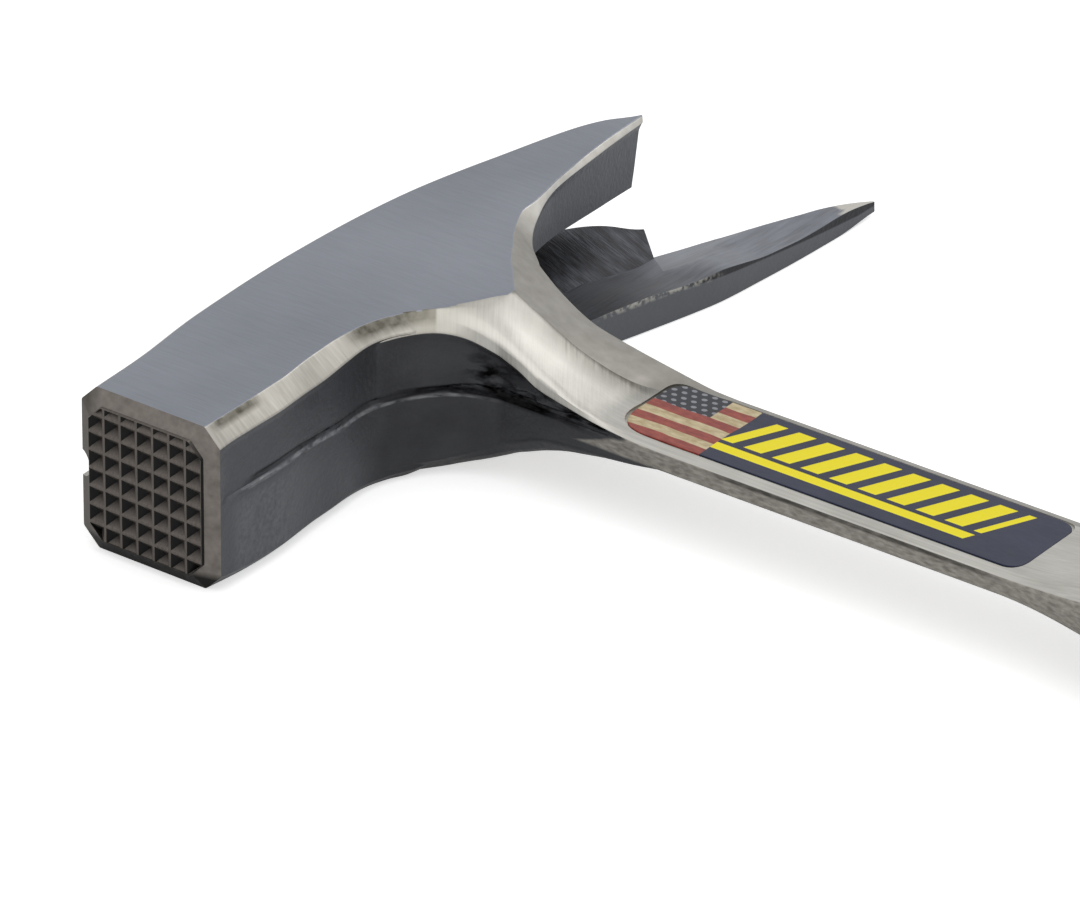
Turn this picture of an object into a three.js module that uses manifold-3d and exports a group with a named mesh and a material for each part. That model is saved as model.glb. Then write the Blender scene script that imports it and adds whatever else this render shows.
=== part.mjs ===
// A roofer's and scaffolder's hammer forged in one piece, lying on its cheek, in millimetres.
// The head has a milled striking face, ground bevels, two nail-pulling jaws and a spike. The grip is a
// stack of oval leather washers on the tang, between the steel collar and a riveted metal cap.
//
// The tool is drawn about the centre of its striking face: x runs down the handle, y from the face towards
// the spike and z up from the forging's parting plane. The last lines stand it on the ground.

import * as THREE from 'three';
import { mergeVertices } from 'three/addons/utils/BufferGeometryUtils.js';
import Module from 'manifold-3d';

const wasm = await Module();
wasm.setup();

// Driving dimensions of the forging
const overallLength = 330;      // crown to butt
const headThickness = 28;       // cheek to cheek
const faceWidth = 26.8;         // striking face, crown side to throat side
const faceBevel = 3;            // ground bevel along the edges of the head
const rimRise = 1.6;            // milled field in front of the head's bevelled end
const rimWidth = 2.5;           // sloping rim round the milled field
const jawReach = 124;           // end of the head to the ends of the nail jaws
const spikeReach = 162.7;       // end of the head to the spike tip
const shankCentre = 64;         // end of the head to the middle of the handle
const shankWidth = 21.2;        // handle, face side to claw side
const shankThickness = 4.9;     // over the two flat faces of the shank
const shankEdge = 3;            // height of the shank's narrow sides
const shankRim = 2.8;           // sloping rim between a narrow side and the flat
const shankRoot = 9;            // inside the cheek, where the shank is drawn from
const shankFlat = 56;           // down the handle, where the shank is flat
const flareStart = 118;         // down the handle, where the shank starts to widen
const flareLength = 46;
const collarEnd = 172;          // down the handle, steel shoulder that the washers seat on
const collarWidth = 32;
const collarThickness = 23;
const tangWidth = 15;
const tangThickness = 5;

// Nail slot: a V between the jaws that opens towards the throat, with its vertex outside the crown
const slotRoot = 94;            // end of the head to the closed end of the slot, at the vertex
const slotRootOut = 13;         // vertex beyond the centre of the face, at the closed end
const slotMouthOut = 9.2;       // the same at the ends of the jaws
const slotRootDrop = 3.3;       // vertex below the parting plane, at the closed end
const slotMouthDrop = 2.7;
const slotRakeShare = 0.47;     // slope of the closed end, back towards the throat
const lowerFlankShare = 0.416;  // slopes of the sides of the V
const upperFlankShare = 0.457;
const upperJawLeanShare = 0.21; // slope of the upper jaw's end, back from the cheek
const lowerJawReach = 124.9;    // end of the head to the lower jaw's end, at the crown
const lowerJawSkewShare = 0.78; // slope of the lower jaw's end, back towards the throat

// Top of the spike: one facet along its throat side and a steeper one along the crown
const spikeTopSlopeShare = 0.09;
const spikeTopPivot = 18;       // down the handle, where the throat-side facet has the heights listed below
const crownFacetSlopeShare = 0.335;
const crownFacetFallShare = 0.095;
const crownFacetReach = 127;    // end of the head to the place where the next value is measured
const crownFacetHeight = 1.6;   // spike's thickness at the crown

// Milled face
const pitPitch = 3.15;
const pitColumns = 7;
const pitRows = 8;
const pitRowShift = 0.7;        // upwards, so that the rim cuts the top row
const pitDepth = 1.3;
const pitLand = 0.4;            // flat left between two pits

// Nail groove in the crown, and its magnet
const nailGrooveRadius = 2.2;
const nailGrooveLength = 34;
const magnetReach = 22;         // end of the head to the magnet
const magnetDiameter = 4;
const magnetLength = 4;

// Printed film on the shank
const filmStart = 46;           // down the handle
const filmLength = 74.5;
const filmWidth = 16.6;
const filmThickness = 0.25;
const filmRecess = 0.4;
const filmCorner = 3.4;         // radius of the corners
const filmSweep = 6;            // the corner by the throat, which is rounder

// Grip
const washerCount = 22;
const spacerCount = 3;          // at each end of the leather
const spacerThickness = 1.6;
const capThickness = 9;
const capRounding = 2;
const buttWidth = 38;
const rivetDiameter = 3;
const rivetHead = 6;
const rivetHeadHeight = 1.5;
const rivetSink = 0.2;          // head below the face of the cap
const rivetSpacing = 8;
const rivetBite = 10;           // how far a rivet goes into the tang

// Clearances
const seatGap = 0.3;            // round a piece that sits in another
const overrun = 5;              // how far a cut starts outside what it cuts

const halfHead = headThickness / 2;
const halfFace = faceWidth / 2;
const halfShank = shankWidth / 2;
const flatLevel = shankThickness / 2;
const edgeLevel = shankEdge / 2;

// Outlines of the head: [share of the spike's reach, share of half the face's width]
const crownShares = [
  [0, -1], [0.067, -1.045], [0.172, -1.19], [0.332, -1.254], [0.479, -1.145], [0.602, -0.84],
  [0.688, -0.5], [0.73, -0.255], [0.762, 0.06], [0.836, 0.53], [0.921, 1.03], [1, 1.5],
];
// Throat side of the upper half: under the neck, across the root of the shank, along the upper jaw
const upperThroatShares = [
  [0, 1], [0.05, 1.007], [0.092, 1.007], [0.157, 0.933], [0.19, 0.91], [0.225, 0.876], [0.247, 0.893],
  [0.269, 0.98], [0.288, 1.1], [0.33, 1.2], [0.38, 1.27], [0.44, 1.25], [0.475, 1.17], [0.499, 0.851],
  [0.529, 0.612], [0.567, 0.425], [0.604, 0.313], [0.682, 0.209], [0.719, 0.164], [0.762, 0.119],
];
// The same for the lower half, which runs on along the spike
const lowerThroatShares = [
  [0, 1], [0.05, 1.007], [0.092, 1.007], [0.157, 0.933], [0.19, 0.91], [0.225, 0.876], [0.247, 0.893],
  [0.269, 0.98], [0.288, 1.1], [0.33, 1.2], [0.38, 1.27], [0.44, 1.25], [0.475, 1.17], [0.499, 1.03],
  [0.523, 0.933], [0.553, 0.88], [0.59, 0.92], [0.654, 1.1], [0.718, 1.285], [0.758, 1.38],
  [0.818, 1.445], [0.879, 1.495], [0.957, 1.53], [1, 1.54],
];
// Bevel along each of those edges: [share of the spike's reach, share of the bevel at the face]
const upperCrownBevelShares = [[0, 1], [0.6, 0.93], [0.69, 0.5], [0.762, 0.08]];
const upperThroatBevelShares = [
  [0, 1], [0.05, 1.03], [0.09, 1.1], [0.125, 1], [0.165, 1.05], [0.2, 1.05], [0.24, 0.85], [0.3, 1], [0.42, 1],
  [0.455, 1.35], [0.479, 1.75], [0.491, 1.32], [0.504, 1.03], [0.529, 0.78], [0.541, 0.52], [0.553, 0.32],
  [0.58, 0.12], [0.627, 0.12], [0.66, 0.22], [0.7, 0.22], [0.762, 0.08],
];
// How far that bevel comes down the throat wall
const upperThroatDropShares = [
  [0, 1], [0.03, 0.87], [0.125, 0.86], [0.165, 0.97], [0.2, 0.8], [0.24, 0.73], [0.42, 0.9], [0.479, 1.12],
  [0.504, 0.85], [0.541, 0.66], [0.566, 0.42], [0.6, 0.35], [0.7, 0.32], [0.762, 0.35],
];
const lowerCrownBevelShares = [[0, 1], [0.6, 0.93], [0.8, 0.5], [1, 0.05]];
const lowerThroatBevelShares = [
  [0, 1], [0.045, 0.75], [0.092, 0.7], [0.2, 0.62], [0.25, 0.5], [0.3, 0.6], [0.45, 0.7], [0.55, 0.3],
  [0.63, 0.12], [0.8, 0.08], [1, 0.05],
];
// Height of the spike's top along its throat side: [share of the spike's reach, share of half the head]
const spikeTopShares = [
  [0.46, -0.529], [0.651, -0.529], [0.718, -0.585], [0.757, -0.586], [0.788, -0.636], [0.818, -0.7],
  [0.848, -0.726], [0.879, -0.745], [0.918, -0.745], [0.95, -0.745], [0.98, -0.785], [1.03, -0.9],
];
// Root of the shank, where it runs down from the cheek, as the five corners of its upper half. Each row is the
// share of the way from shankRoot to shankFlat and the corner's share of half the shank's width.
const faceEdgeShares = [
  [0, -2.45], [0.06, -2.2], [0.09, -1.906], [0.128, -1.623], [0.179, -1.358], [0.243, -1.151],
  [0.319, -1.038], [0.362, -1], [1, -1],
];
const faceFlatShares = [
  [0, -1.75], [0.06, -1.6], [0.09, -1.42], [0.125, -1.24], [0.18, -1.03], [0.22, -0.975], [0.265, -0.955],
  [0.36, -0.93], [0.51, -0.915], [0.668, -0.93], [0.755, -0.88], [0.85, -0.8], [1, -0.736],
];
const ridgeShares = [
  [0, -1.698], [0.06, -1.538], [0.125, -1.16], [0.18, -0.755], [0.265, -0.142], [0.36, -0.15],
  [0.51, -0.07], [0.668, 0], [1, 0],
];
const clawFlatShares = [
  [0, 1.132], [0.06, 1.038], [0.125, 0.642], [0.18, 0.358], [0.265, -0.06], [0.36, -0.03],
  [0.51, 0.06], [0.668, 0.2], [0.755, 0.37], [1, 0.736],
];
const clawEdgeShares = [
  [0, 1.698], [0.06, 1.557], [0.125, 1.302], [0.18, 1.17], [0.265, 1.047], [0.36, 1.01], [0.436, 1], [1, 1],
];
// Rise of those corners, as a share of the way up to the cheek
const faceRiseShares = [
  [0, 0.776], [0.125, 0.784], [0.18, 0.76], [0.265, 0.664], [0.36, 0.528], [0.436, 0.416], [0.51, 0.264],
  [0.668, 0.128], [0.755, 0.068], [0.9, 0.012], [1, 0],
];
// The same for the lower half's two corners on the face side
const lowerFaceFlatRiseShares = [
  [0, 1], [0.1, 1], [0.15, 0.98], [0.18, 0.95], [0.245, 0.85], [0.355, 0.642], [0.404, 0.541], [0.468, 0.446],
  [0.549, 0.316], [0.628, 0.21], [0.745, 0.125], [0.904, 0.05], [1, 0],
];
const lowerFaceRiseShares = [
  [0, 0.776], [0.125, 0.784], [0.18, 0.755], [0.28, 0.608], [0.357, 0.468], [0.447, 0.325], [0.515, 0.215],
  [0.6, 0.165], [0.7, 0.13], [0.8, 0.1], [0.9, 0.06], [1, 0],
];
const faceFlatRiseShares = [
  [0, 1], [0.1, 1], [0.15, 0.985], [0.18, 0.965], [0.22, 0.921], [0.265, 0.861], [0.31, 0.794], [0.36, 0.714],
  [0.436, 0.575], [0.51, 0.41], [0.587, 0.28], [0.668, 0.16], [0.755, 0.06], [0.85, 0.01], [1, 0],
];
const flatRiseShares = [
  [0, 1], [0.2, 1], [0.265, 0.985], [0.36, 0.755], [0.436, 0.56], [0.51, 0.383], [0.587, 0.24],
  [0.668, 0.113], [0.755, 0.004], [1, 0],
];
const clawRiseShares = [
  [0, 0.76], [0.125, 0.76], [0.18, 0.72], [0.265, 0.6], [0.36, 0.424], [0.436, 0.32], [0.587, 0.208],
  [0.755, 0.104], [0.9, 0.02], [1, 0],
];
// Grip: [share of its length, share of half the butt's width] and [.., share of half the head]
const gripWidthShares = [[0, 0.842], [0.12, 0.8], [0.36, 0.874], [0.62, 0.83], [0.84, 0.83], [1, 1]];
const gripDepthShares = [[0, 0.821], [0.12, 0.807], [0.4, 0.9], [0.7, 0.871], [0.86, 0.9], [1, 1]];

const headSections = 72;
const rootSections = 16;
const flareSections = 8;
const ovalPoints = 12;
const washerPoints = 28;
const capSections = 4;

// Value at a place of a smooth curve through [place share, value share] rows
function shareAt(shares, place) {
  const last = shares.length - 1;
  let row = 0;
  while (row + 1 < last && place > shares[row + 1][0]) row += 1;
  const slopeAt = (index) => {
    const before = shares[Math.max(index - 1, 0)];
    const after = shares[Math.min(index + 1, last)];
    return (after[1] - before[1]) / (after[0] - before[0]);
  };
  const [start, end] = [shares[row], shares[row + 1]];
  const span = end[0] - start[0];
  const step = Math.min((place - start[0]) / span, 1);
  const square = step * step;
  const cube = square * step;
  return start[1] * (2 * cube - 3 * square + 1) + end[1] * (3 * square - 2 * cube)
    + slopeAt(row) * span * (cube - 2 * square + step) + slopeAt(row + 1) * span * (cube - square);
}

// Six times the signed volume inside the triangles
function volumeOf(positions, index) {
  const corner = (vertex) => new THREE.Vector3().fromArray(positions, 3 * vertex);
  let total = 0;
  for (let first = 0; first < index.length; first += 3) {
    const [a, b, c] = [corner(index[first]), corner(index[first + 1]), corner(index[first + 2])];
    total += a.dot(b.cross(c));
  }
  return total;
}

function flipped(index) {
  const turned = [];
  for (let corner = 0; corner < index.length; corner += 3) {
    turned.push(index[corner], index[corner + 2], index[corner + 1]);
  }
  return turned;
}

// Closed body skinned over rings with the same number of points, with flat ends
function skin(rings) {
  const size = rings[0].length;
  const positions = rings.flat(2);
  const index = [];
  for (let ring = 0; ring + 1 < rings.length; ring += 1) {
    for (let corner = 0; corner < size; corner += 1) {
      const a = ring * size + corner;
      const b = ring * size + (corner + 1) % size;
      index.push(a, b, b + size, a, b + size, a + size);
    }
  }
  const lastRing = (rings.length - 1) * size;
  for (let corner = 1; corner + 1 < size; corner += 1) {
    index.push(0, corner + 1, corner);
    index.push(lastRing, lastRing + corner, lastRing + corner + 1);
  }
  const geometry = new THREE.BufferGeometry();
  geometry.setAttribute('position', new THREE.Float32BufferAttribute(positions, 3));
  geometry.setIndex(volumeOf(positions, index) < 0 ? flipped(index) : index);
  return geometry;
}

// Solid for cutting and joining, from a closed geometry
function solid(geometry) {
  const bare = geometry.clone();
  bare.deleteAttribute('normal');
  bare.deleteAttribute('uv');
  const merged = mergeVertices(bare);
  return new wasm.Manifold(new wasm.Mesh({
    numProp: 3,
    vertProperties: new Float32Array(merged.attributes.position.array),
    triVerts: new Uint32Array(merged.index.array),
  }));
}

function geometryOf(body) {
  const mesh = body.getMesh();
  const geometry = new THREE.BufferGeometry();
  geometry.setAttribute('position', new THREE.BufferAttribute(mesh.vertProperties, 3));
  geometry.setIndex(new THREE.BufferAttribute(mesh.triVerts, 1));
  geometry.computeVertexNormals();
  return geometry;
}

// Box between two corners
function block(low, high) {
  const geometry = new THREE.BoxGeometry(...high.map((value, axis) => value - low[axis]));
  return geometry.translate(...high.map((value, axis) => (value + low[axis]) / 2));
}

// Rod along x, centred on its start
function rod(radius, start, length) {
  const geometry = new THREE.CylinderGeometry(radius, radius, length, 2 * ovalPoints);
  geometry.rotateZ(Math.PI / 2);
  return geometry.translate(start + length / 2, 0, 0);
}

// Slanted copy of a geometry, in which y and z rise with the other axes by the given slopes
function sheared(geometry, { yWithX = 0, yWithZ = 0, zWithX = 0, zWithY = 0 }) {
  return geometry.applyMatrix4(new THREE.Matrix4().set(
    1, 0, 0, 0,
    yWithX, 1, yWithZ, 0,
    zWithX, zWithY, 1, 0,
    0, 0, 0, 1));
}

const crownAt = (place) => shareAt(crownShares, place) * halfFace;

// One section of half the head, from the crown side to the throat side; side is 1 above and -1 below
function halfSection(place, throatShares, crownBevelShares, throatBevelShares, throatDropShares, side) {
  const crown = crownAt(place);
  const throat = shareAt(throatShares, place) * halfFace;
  const crownBevel = shareAt(crownBevelShares, place) * faceBevel;
  const throatBevel = shareAt(throatBevelShares, place) * faceBevel;
  const throatDrop = shareAt(throatDropShares, place) * faceBevel;
  const y = place * spikeReach;
  return [
    [crown, y, 0],
    [crown, y, side * (halfHead - crownBevel)],
    [crown + crownBevel, y, side * halfHead],
    [throat - throatBevel, y, side * halfHead],
    [throat, y, side * (halfHead - throatDrop)],
    [throat, y, 0],
  ];
}

function upperSection(place) {
  return halfSection(
    place, upperThroatShares, upperCrownBevelShares, upperThroatBevelShares, upperThroatDropShares, 1);
}

function lowerSection(place) {
  return halfSection(
    place, lowerThroatShares, lowerCrownBevelShares, lowerThroatBevelShares, lowerThroatBevelShares, -1);
}

function headHalf(sectionAt, reach) {
  const sections = Math.round(headSections * reach / spikeReach);
  const rings = [];
  for (let section = 0; section <= sections; section += 1) {
    rings.push(sectionAt(section / sections * reach / spikeReach));
  }
  return solid(skin(rings));
}

// Outline of the end of the head, drawn in by an inset, at a place along y
function faceOutline(inset, y) {
  const rim = [...upperSection(0).slice(1, -1), ...lowerSection(0).slice(1, -1).reverse()];
  return rim.map(([x, , z]) => [x * (1 - inset / halfFace), y, z * (1 - inset / halfHead)]);
}

// Sloping rim and the raised field in front of the head, before it is milled
function strikingEnd() {
  return solid(skin([faceOutline(seatGap, faceBevel), faceOutline(0, 0), faceOutline(rimWidth, -rimRise)]));
}

// Rows of square pits in the milled field, each a pyramid with its point inwards
function millingCut() {
  const mouth = (pitPitch - pitLand) / 2 * (1 + seatGap / pitDepth);
  const depth = pitDepth + seatGap;
  let pits = null;
  for (let column = 0; column < pitColumns; column += 1) {
    for (let row = 0; row < pitRows; row += 1) {
      const pyramid = new THREE.ConeGeometry(mouth * Math.SQRT2, depth, 4);
      pyramid.rotateY(Math.PI / 4);
      pyramid.translate(
        (column - (pitColumns - 1) / 2) * pitPitch,
        depth / 2 - rimRise - seatGap,
        (row - (pitRows - 1) / 2) * pitPitch + pitRowShift);
      const pit = solid(pyramid);
      pits = pits ? pits.add(pit) : pit;
    }
  }
  return pits.intersect(solid(skin([faceOutline(rimWidth, -rimRise - seatGap), faceOutline(rimWidth, pitDepth)])));
}

// Everything above the throat-side facet of the spike, over the whole width of the head
function aboveSpike() {
  const profile = spikeTopShares.map(([place, height]) => [place * spikeReach, height * halfHead]);
  const top = headThickness + overrun;
  const shape = new THREE.Shape();
  shape.moveTo(profile[0][0], top);
  profile.forEach(([y, z]) => shape.lineTo(y, z));
  shape.lineTo(profile.at(-1)[0], top);
  const geometry = new THREE.ExtrudeGeometry(shape, { depth: 2 * jawReach, bevelEnabled: false });
  geometry.translate(0, 0, -jawReach);
  geometry.rotateX(Math.PI / 2);
  geometry.rotateZ(Math.PI / 2);
  return sheared(geometry, { zWithX: spikeTopSlopeShare }).translate(spikeTopPivot, 0, 0);
}

// Everything above the facet along the crown of the spike
function aboveCrownFacet() {
  const geometry = block([-jawReach, -jawReach, 0], [jawReach, jawReach, headThickness]);
  sheared(geometry, { zWithX: crownFacetSlopeShare, zWithY: -crownFacetFallShare });
  return geometry.translate(
    crownAt(crownFacetReach / spikeReach), crownFacetReach, crownFacetHeight - halfHead);
}

// Space past the skewed end of the lower jaw, and past the leaning end of the upper one
function pastLowerJaw() {
  const geometry = block([-jawReach, 0, -headThickness], [jawReach, jawReach, headThickness]);
  sheared(geometry, { yWithX: -lowerJawSkewShare });
  return geometry.translate(crownAt(lowerJawReach / spikeReach), lowerJawReach, 0);
}

function pastUpperJaw() {
  const geometry = block([-jawReach, 0, -headThickness], [jawReach, jawReach, overrun]);
  sheared(geometry, { yWithZ: upperJawLeanShare });
  const body = solid(geometry.translate(0, jawReach, halfHead));
  return body.subtract(solid(block([-jawReach, 0, -headThickness], [jawReach, 2 * jawReach, -slotMouthDrop])));
}

// V between the jaws, from its closed end to outside their ends
function slotCut() {
  const reach = faceWidth + overrun;
  const triangle = (y, throatY, vertexOut, vertexDrop) => [
    [-vertexOut, y, -vertexDrop],
    [reach, throatY, -vertexDrop - lowerFlankShare * (reach + vertexOut)],
    [reach, throatY, -vertexDrop + upperFlankShare * (reach + vertexOut)],
  ];
  const root = triangle(slotRoot, slotRoot - slotRakeShare * (reach + slotRootOut), slotRootOut, slotRootDrop);
  const past = 1 + (spikeReach - jawReach) / (jawReach - slotRoot);
  const out = THREE.MathUtils.lerp(slotRootOut, slotMouthOut, past);
  const drop = THREE.MathUtils.lerp(slotRootDrop, slotMouthDrop, past);
  return solid(skin([root, triangle(spikeReach, spikeReach, out, drop)]));
}

// Half cylinder along the crown, closed by a ball, that holds a nail for its first blow
function nailGrooveCut() {
  const rise = crownAt(nailGrooveLength / spikeReach) - crownAt(0);
  const length = Math.hypot(rise, nailGrooveLength);
  const geometry = new THREE.CapsuleGeometry(nailGrooveRadius, 2 * length, ovalPoints / 2, 2 * ovalPoints);
  geometry.rotateZ(Math.atan2(nailGrooveLength, rise) - Math.PI / 2);
  return solid(geometry.translate(crownAt(0), 0, 0));
}

const magnetSeat = crownAt(magnetReach / spikeReach) + nailGrooveRadius;

// Magnet on the floor of its pocket, or the pocket itself, which starts outside the groove
function magnetGeometry(clearance, lead) {
  const geometry = rod(magnetDiameter / 2 + clearance, magnetSeat - lead, magnetLength + lead);
  return geometry.translate(0, magnetReach, 0);
}

// Ring of ovalPoints points round the handle, given its upper half from the face side to the claw side, and its
// lower half where that differs
function handleRing(x, upper, lower = upper) {
  const below = lower.map(([y, z]) => [y, -z]).reverse();
  return [[upper[0][0], 0], ...upper, [upper.at(-1)[0], 0], ...below].map(([y, z]) => [x, shankCentre + y, z]);
}

function rootHalf(place, edgeRiseShares, rimRiseShares) {
  const corners = [
    [faceEdgeShares, edgeRiseShares, edgeLevel], [faceFlatShares, rimRiseShares, flatLevel],
    [ridgeShares, flatRiseShares, flatLevel], [clawFlatShares, flatRiseShares, flatLevel],
    [clawEdgeShares, clawRiseShares, edgeLevel],
  ];
  return corners.map(([sideShares, riseShares, level]) => [
    shareAt(sideShares, place) * halfShank,
    level + Math.min(shareAt(riseShares, place), 1) * (halfHead - level),
  ]);
}

function rootRing(place) {
  const upper = rootHalf(place, faceRiseShares, faceFlatRiseShares);
  const lower = rootHalf(place, lowerFaceRiseShares, lowerFaceFlatRiseShares);
  return handleRing(shankRoot + place * (shankFlat - shankRoot), upper, lower);
}

function flatRing(x) {
  const flatSide = halfShank - shankRim;
  return handleRing(x, [
    [-halfShank, edgeLevel], [-flatSide, flatLevel], [0, flatLevel], [flatSide, flatLevel], [halfShank, edgeLevel],
  ]);
}

function ovalRing(x, width, depth, count) {
  const ring = [];
  for (let point = 0; point < count; point += 1) {
    const angle = 2 * Math.PI * point / count;
    ring.push([x, shankCentre - Math.cos(angle) * width / 2, Math.sin(angle) * depth / 2]);
  }
  return ring;
}

function shank() {
  const rings = [];
  for (let section = 0; section <= rootSections; section += 1) {
    rings.push(rootRing(section / rootSections));
  }
  for (let section = 0; section <= flareSections; section += 1) {
    const place = section / flareSections;
    const blend = THREE.MathUtils.smoothstep(place, 0, 1);
    const x = flareStart + place * flareLength;
    const oval = ovalRing(x, collarWidth, collarThickness, ovalPoints);
    rings.push(flatRing(x).map((point, corner) => [
      x,
      THREE.MathUtils.lerp(point[1], oval[corner][1], blend),
      THREE.MathUtils.lerp(point[2], oval[corner][2], blend),
    ]));
  }
  rings.push(ovalRing(collarEnd, collarWidth, collarThickness, ovalPoints));
  return solid(skin(rings));
}

// Outline of the printed film, with its rounder corner by the throat
function filmGeometry(clearance, depth) {
  const [startX, endX] = [filmStart - clearance, filmStart + filmLength + clearance];
  const half = filmWidth / 2 + clearance;
  const shape = new THREE.Shape();
  shape.moveTo(startX, shankCentre - half + filmSweep);
  shape.quadraticCurveTo(startX, shankCentre - half, startX + filmSweep, shankCentre - half);
  shape.lineTo(endX - filmCorner, shankCentre - half);
  shape.quadraticCurveTo(endX, shankCentre - half, endX, shankCentre - half + filmCorner);
  shape.lineTo(endX, shankCentre + half - filmCorner);
  shape.quadraticCurveTo(endX, shankCentre + half, endX - filmCorner, shankCentre + half);
  shape.lineTo(startX + filmCorner, shankCentre + half);
  shape.quadraticCurveTo(startX, shankCentre + half, startX, shankCentre + half - filmCorner);
  const geometry = new THREE.ExtrudeGeometry(shape, { depth, bevelEnabled: false, curveSegments: 6 });
  return geometry.translate(0, 0, flatLevel - filmRecess);
}

const buttEnd = overallLength - crownRiseOf();
const stackEnd = buttEnd - capThickness;
const gripLength = buttEnd - collarEnd;

// Height of the crown above the centre of the face, at its highest section
function crownRiseOf() {
  let rise = 0;
  for (let section = 0; section <= headSections; section += 1) {
    rise = Math.max(rise, -crownAt(section / headSections));
  }
  return rise;
}

function forgedBody() {
  const overSpike = solid(aboveSpike());
  const tang = block([collarEnd - overrun, shankCentre - tangWidth / 2, -tangThickness / 2],
    [stackEnd - seatGap, shankCentre + tangWidth / 2, tangThickness / 2]);
  let body = headHalf(upperSection, jawReach)
    .add(headHalf(lowerSection, spikeReach))
    .add(strikingEnd())
    .add(shank())
    .add(solid(tang))
    .subtract(slotCut().intersect(overSpike))
    .subtract(solid(pastLowerJaw()).intersect(overSpike.add(solid(aboveCrownFacet()))))
    .subtract(pastUpperJaw())
    .subtract(millingCut())
    .subtract(nailGrooveCut())
    .subtract(solid(magnetGeometry(seatGap, overrun)))
    .subtract(solid(filmGeometry(seatGap, halfHead)));
  for (const side of [-1, 1]) {
    const hole = rod(rivetDiameter / 2 + seatGap, stackEnd - rivetBite - seatGap, capThickness + rivetBite);
    body = body.subtract(solid(hole.translate(0, shankCentre + side * rivetSpacing / 2, 0)));
  }
  return geometryOf(body);
}

// Handle section at a place down the handle, from the collar to the butt
function gripRing(x) {
  const place = (x - collarEnd) / gripLength;
  const width = shareAt(gripWidthShares, place) * buttWidth;
  return ovalRing(x, width, shareAt(gripDepthShares, place) * headThickness, washerPoints);
}

// Washer with a slot for the tang, between two places down the handle
function washer(start, end) {
  const hole = block(
    [start - overrun, shankCentre - tangWidth / 2 - seatGap, -tangThickness / 2 - seatGap],
    [end + overrun, shankCentre + tangWidth / 2 + seatGap, tangThickness / 2 + seatGap]);
  return geometryOf(solid(skin([gripRing(start), gripRing(end)])).subtract(solid(hole)));
}

// Cap with rounded edges and two counterbored holes
function buttCap() {
  const rings = [gripRing(stackEnd)];
  for (let section = 0; section <= capSections; section += 1) {
    const angle = Math.PI / 2 * section / capSections;
    const x = buttEnd - capRounding * (1 - Math.sin(angle));
    const inset = 2 * capRounding * (1 - Math.cos(angle));
    rings.push(ovalRing(x, buttWidth - inset, headThickness - inset, washerPoints));
  }
  let body = solid(skin(rings));
  for (const side of [-1, 1]) {
    const place = shankCentre + side * rivetSpacing / 2;
    const hole = rod(rivetDiameter / 2 + seatGap, stackEnd - overrun, capThickness + 2 * overrun);
    const bore = rod(rivetHead / 2 + seatGap, buttEnd - rivetSink - rivetHeadHeight, overrun);
    body = body.subtract(solid(hole.translate(0, place, 0))).subtract(solid(bore.translate(0, place, 0)));
  }
  return geometryOf(body);
}

// Rivet whose head sits on the floor of its bore
function rivet(side) {
  const shaft = capThickness + rivetBite - rivetHeadHeight - rivetSink;
  const profile = [
    [0, 0], [rivetDiameter / 2, 0], [rivetDiameter / 2, shaft], [rivetHead / 2, shaft],
    [rivetHead / 2, shaft + rivetHeadHeight], [0, shaft + rivetHeadHeight],
  ].map(([radius, height]) => new THREE.Vector2(radius, height));
  const geometry = new THREE.LatheGeometry(profile, 2 * ovalPoints);
  geometry.rotateZ(-Math.PI / 2);
  return geometry.translate(stackEnd - rivetBite, shankCentre + side * rivetSpacing / 2, 0);
}

const steel = { color: 0x4a4d55, roughness: 0.42, metalness: 0.8 };
const magnetNickel = { color: 0xb8b8b4, roughness: 0.3, metalness: 1 };
const film = { color: 0x44485c, roughness: 0.35, metalness: 0 };
const leather = { color: 0x7a4a26, roughness: 0.45, metalness: 0 };
const blackFibre = { color: 0x17171a, roughness: 0.5, metalness: 0 };
const creamFibre = { color: 0xd8cfae, roughness: 0.5, metalness: 0 };
const aluminium = { color: 0xb0b2b5, roughness: 0.35, metalness: 1 };

const tool = new THREE.Group();

function place(name, geometry, finish) {
  const mesh = new THREE.Mesh(geometry, new THREE.MeshStandardMaterial(finish));
  mesh.name = name;
  tool.add(mesh);
}

place('forged_body', forgedBody(), steel);
place('nail_magnet', magnetGeometry(0, 0), magnetNickel);
place('shank_label', filmGeometry(0, filmThickness), film);

const leatherStart = collarEnd + spacerCount * spacerThickness;
const leatherEnd = stackEnd - spacerCount * spacerThickness;
const fibreColours = [blackFibre, creamFibre, blackFibre];
for (let spacer = 0; spacer < spacerCount; spacer += 1) {
  const finish = fibreColours[spacer % fibreColours.length];
  for (const [name, start] of [['collar_spacer', collarEnd], ['butt_spacer', leatherEnd]]) {
    const [from, to] = [spacer, spacer + 1].map((count) => start + count * spacerThickness);
    place(`${name}_${spacer + 1}`, washer(from, to), finish);
  }
}
for (let count = 0; count < washerCount; count += 1) {
  const [from, to] = [count, count + 1].map((edge) => (
    leatherStart + (leatherEnd - leatherStart) * edge / washerCount));
  place(`leather_washer_${String(count + 1).padStart(2, '0')}`, washer(from, to), leather);
}
place('butt_cap', buttCap(), aluminium);
place('cap_rivet_1', rivet(-1), magnetNickel);
place('cap_rivet_2', rivet(1), magnetNickel);

// Stand the tool on its lower cheek, with the origin under the middle of its box
const box = new THREE.Box3().setFromObject(tool);
const centre = box.getCenter(new THREE.Vector3());
tool.position.set(-centre.x, -centre.y, -box.min.z);

const hammer = new THREE.Group();
hammer.add(tool);
export default hammer;
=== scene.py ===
"""Looks of a roofer's and scaffolder's hammer forged in one piece, lying on its cheek.

The tool is drawn in millimetres about the centre of its striking face: x runs down the handle, y from the
face towards the spike, and z up from the forging's parting plane. in_frame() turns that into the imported
model's metres. The head, the jaws, the spike and the shank are one forging, so they are one mesh.
"""

import math

import bmesh
import bpy
import numpy as np
from mathutils import Matrix, Vector


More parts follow.
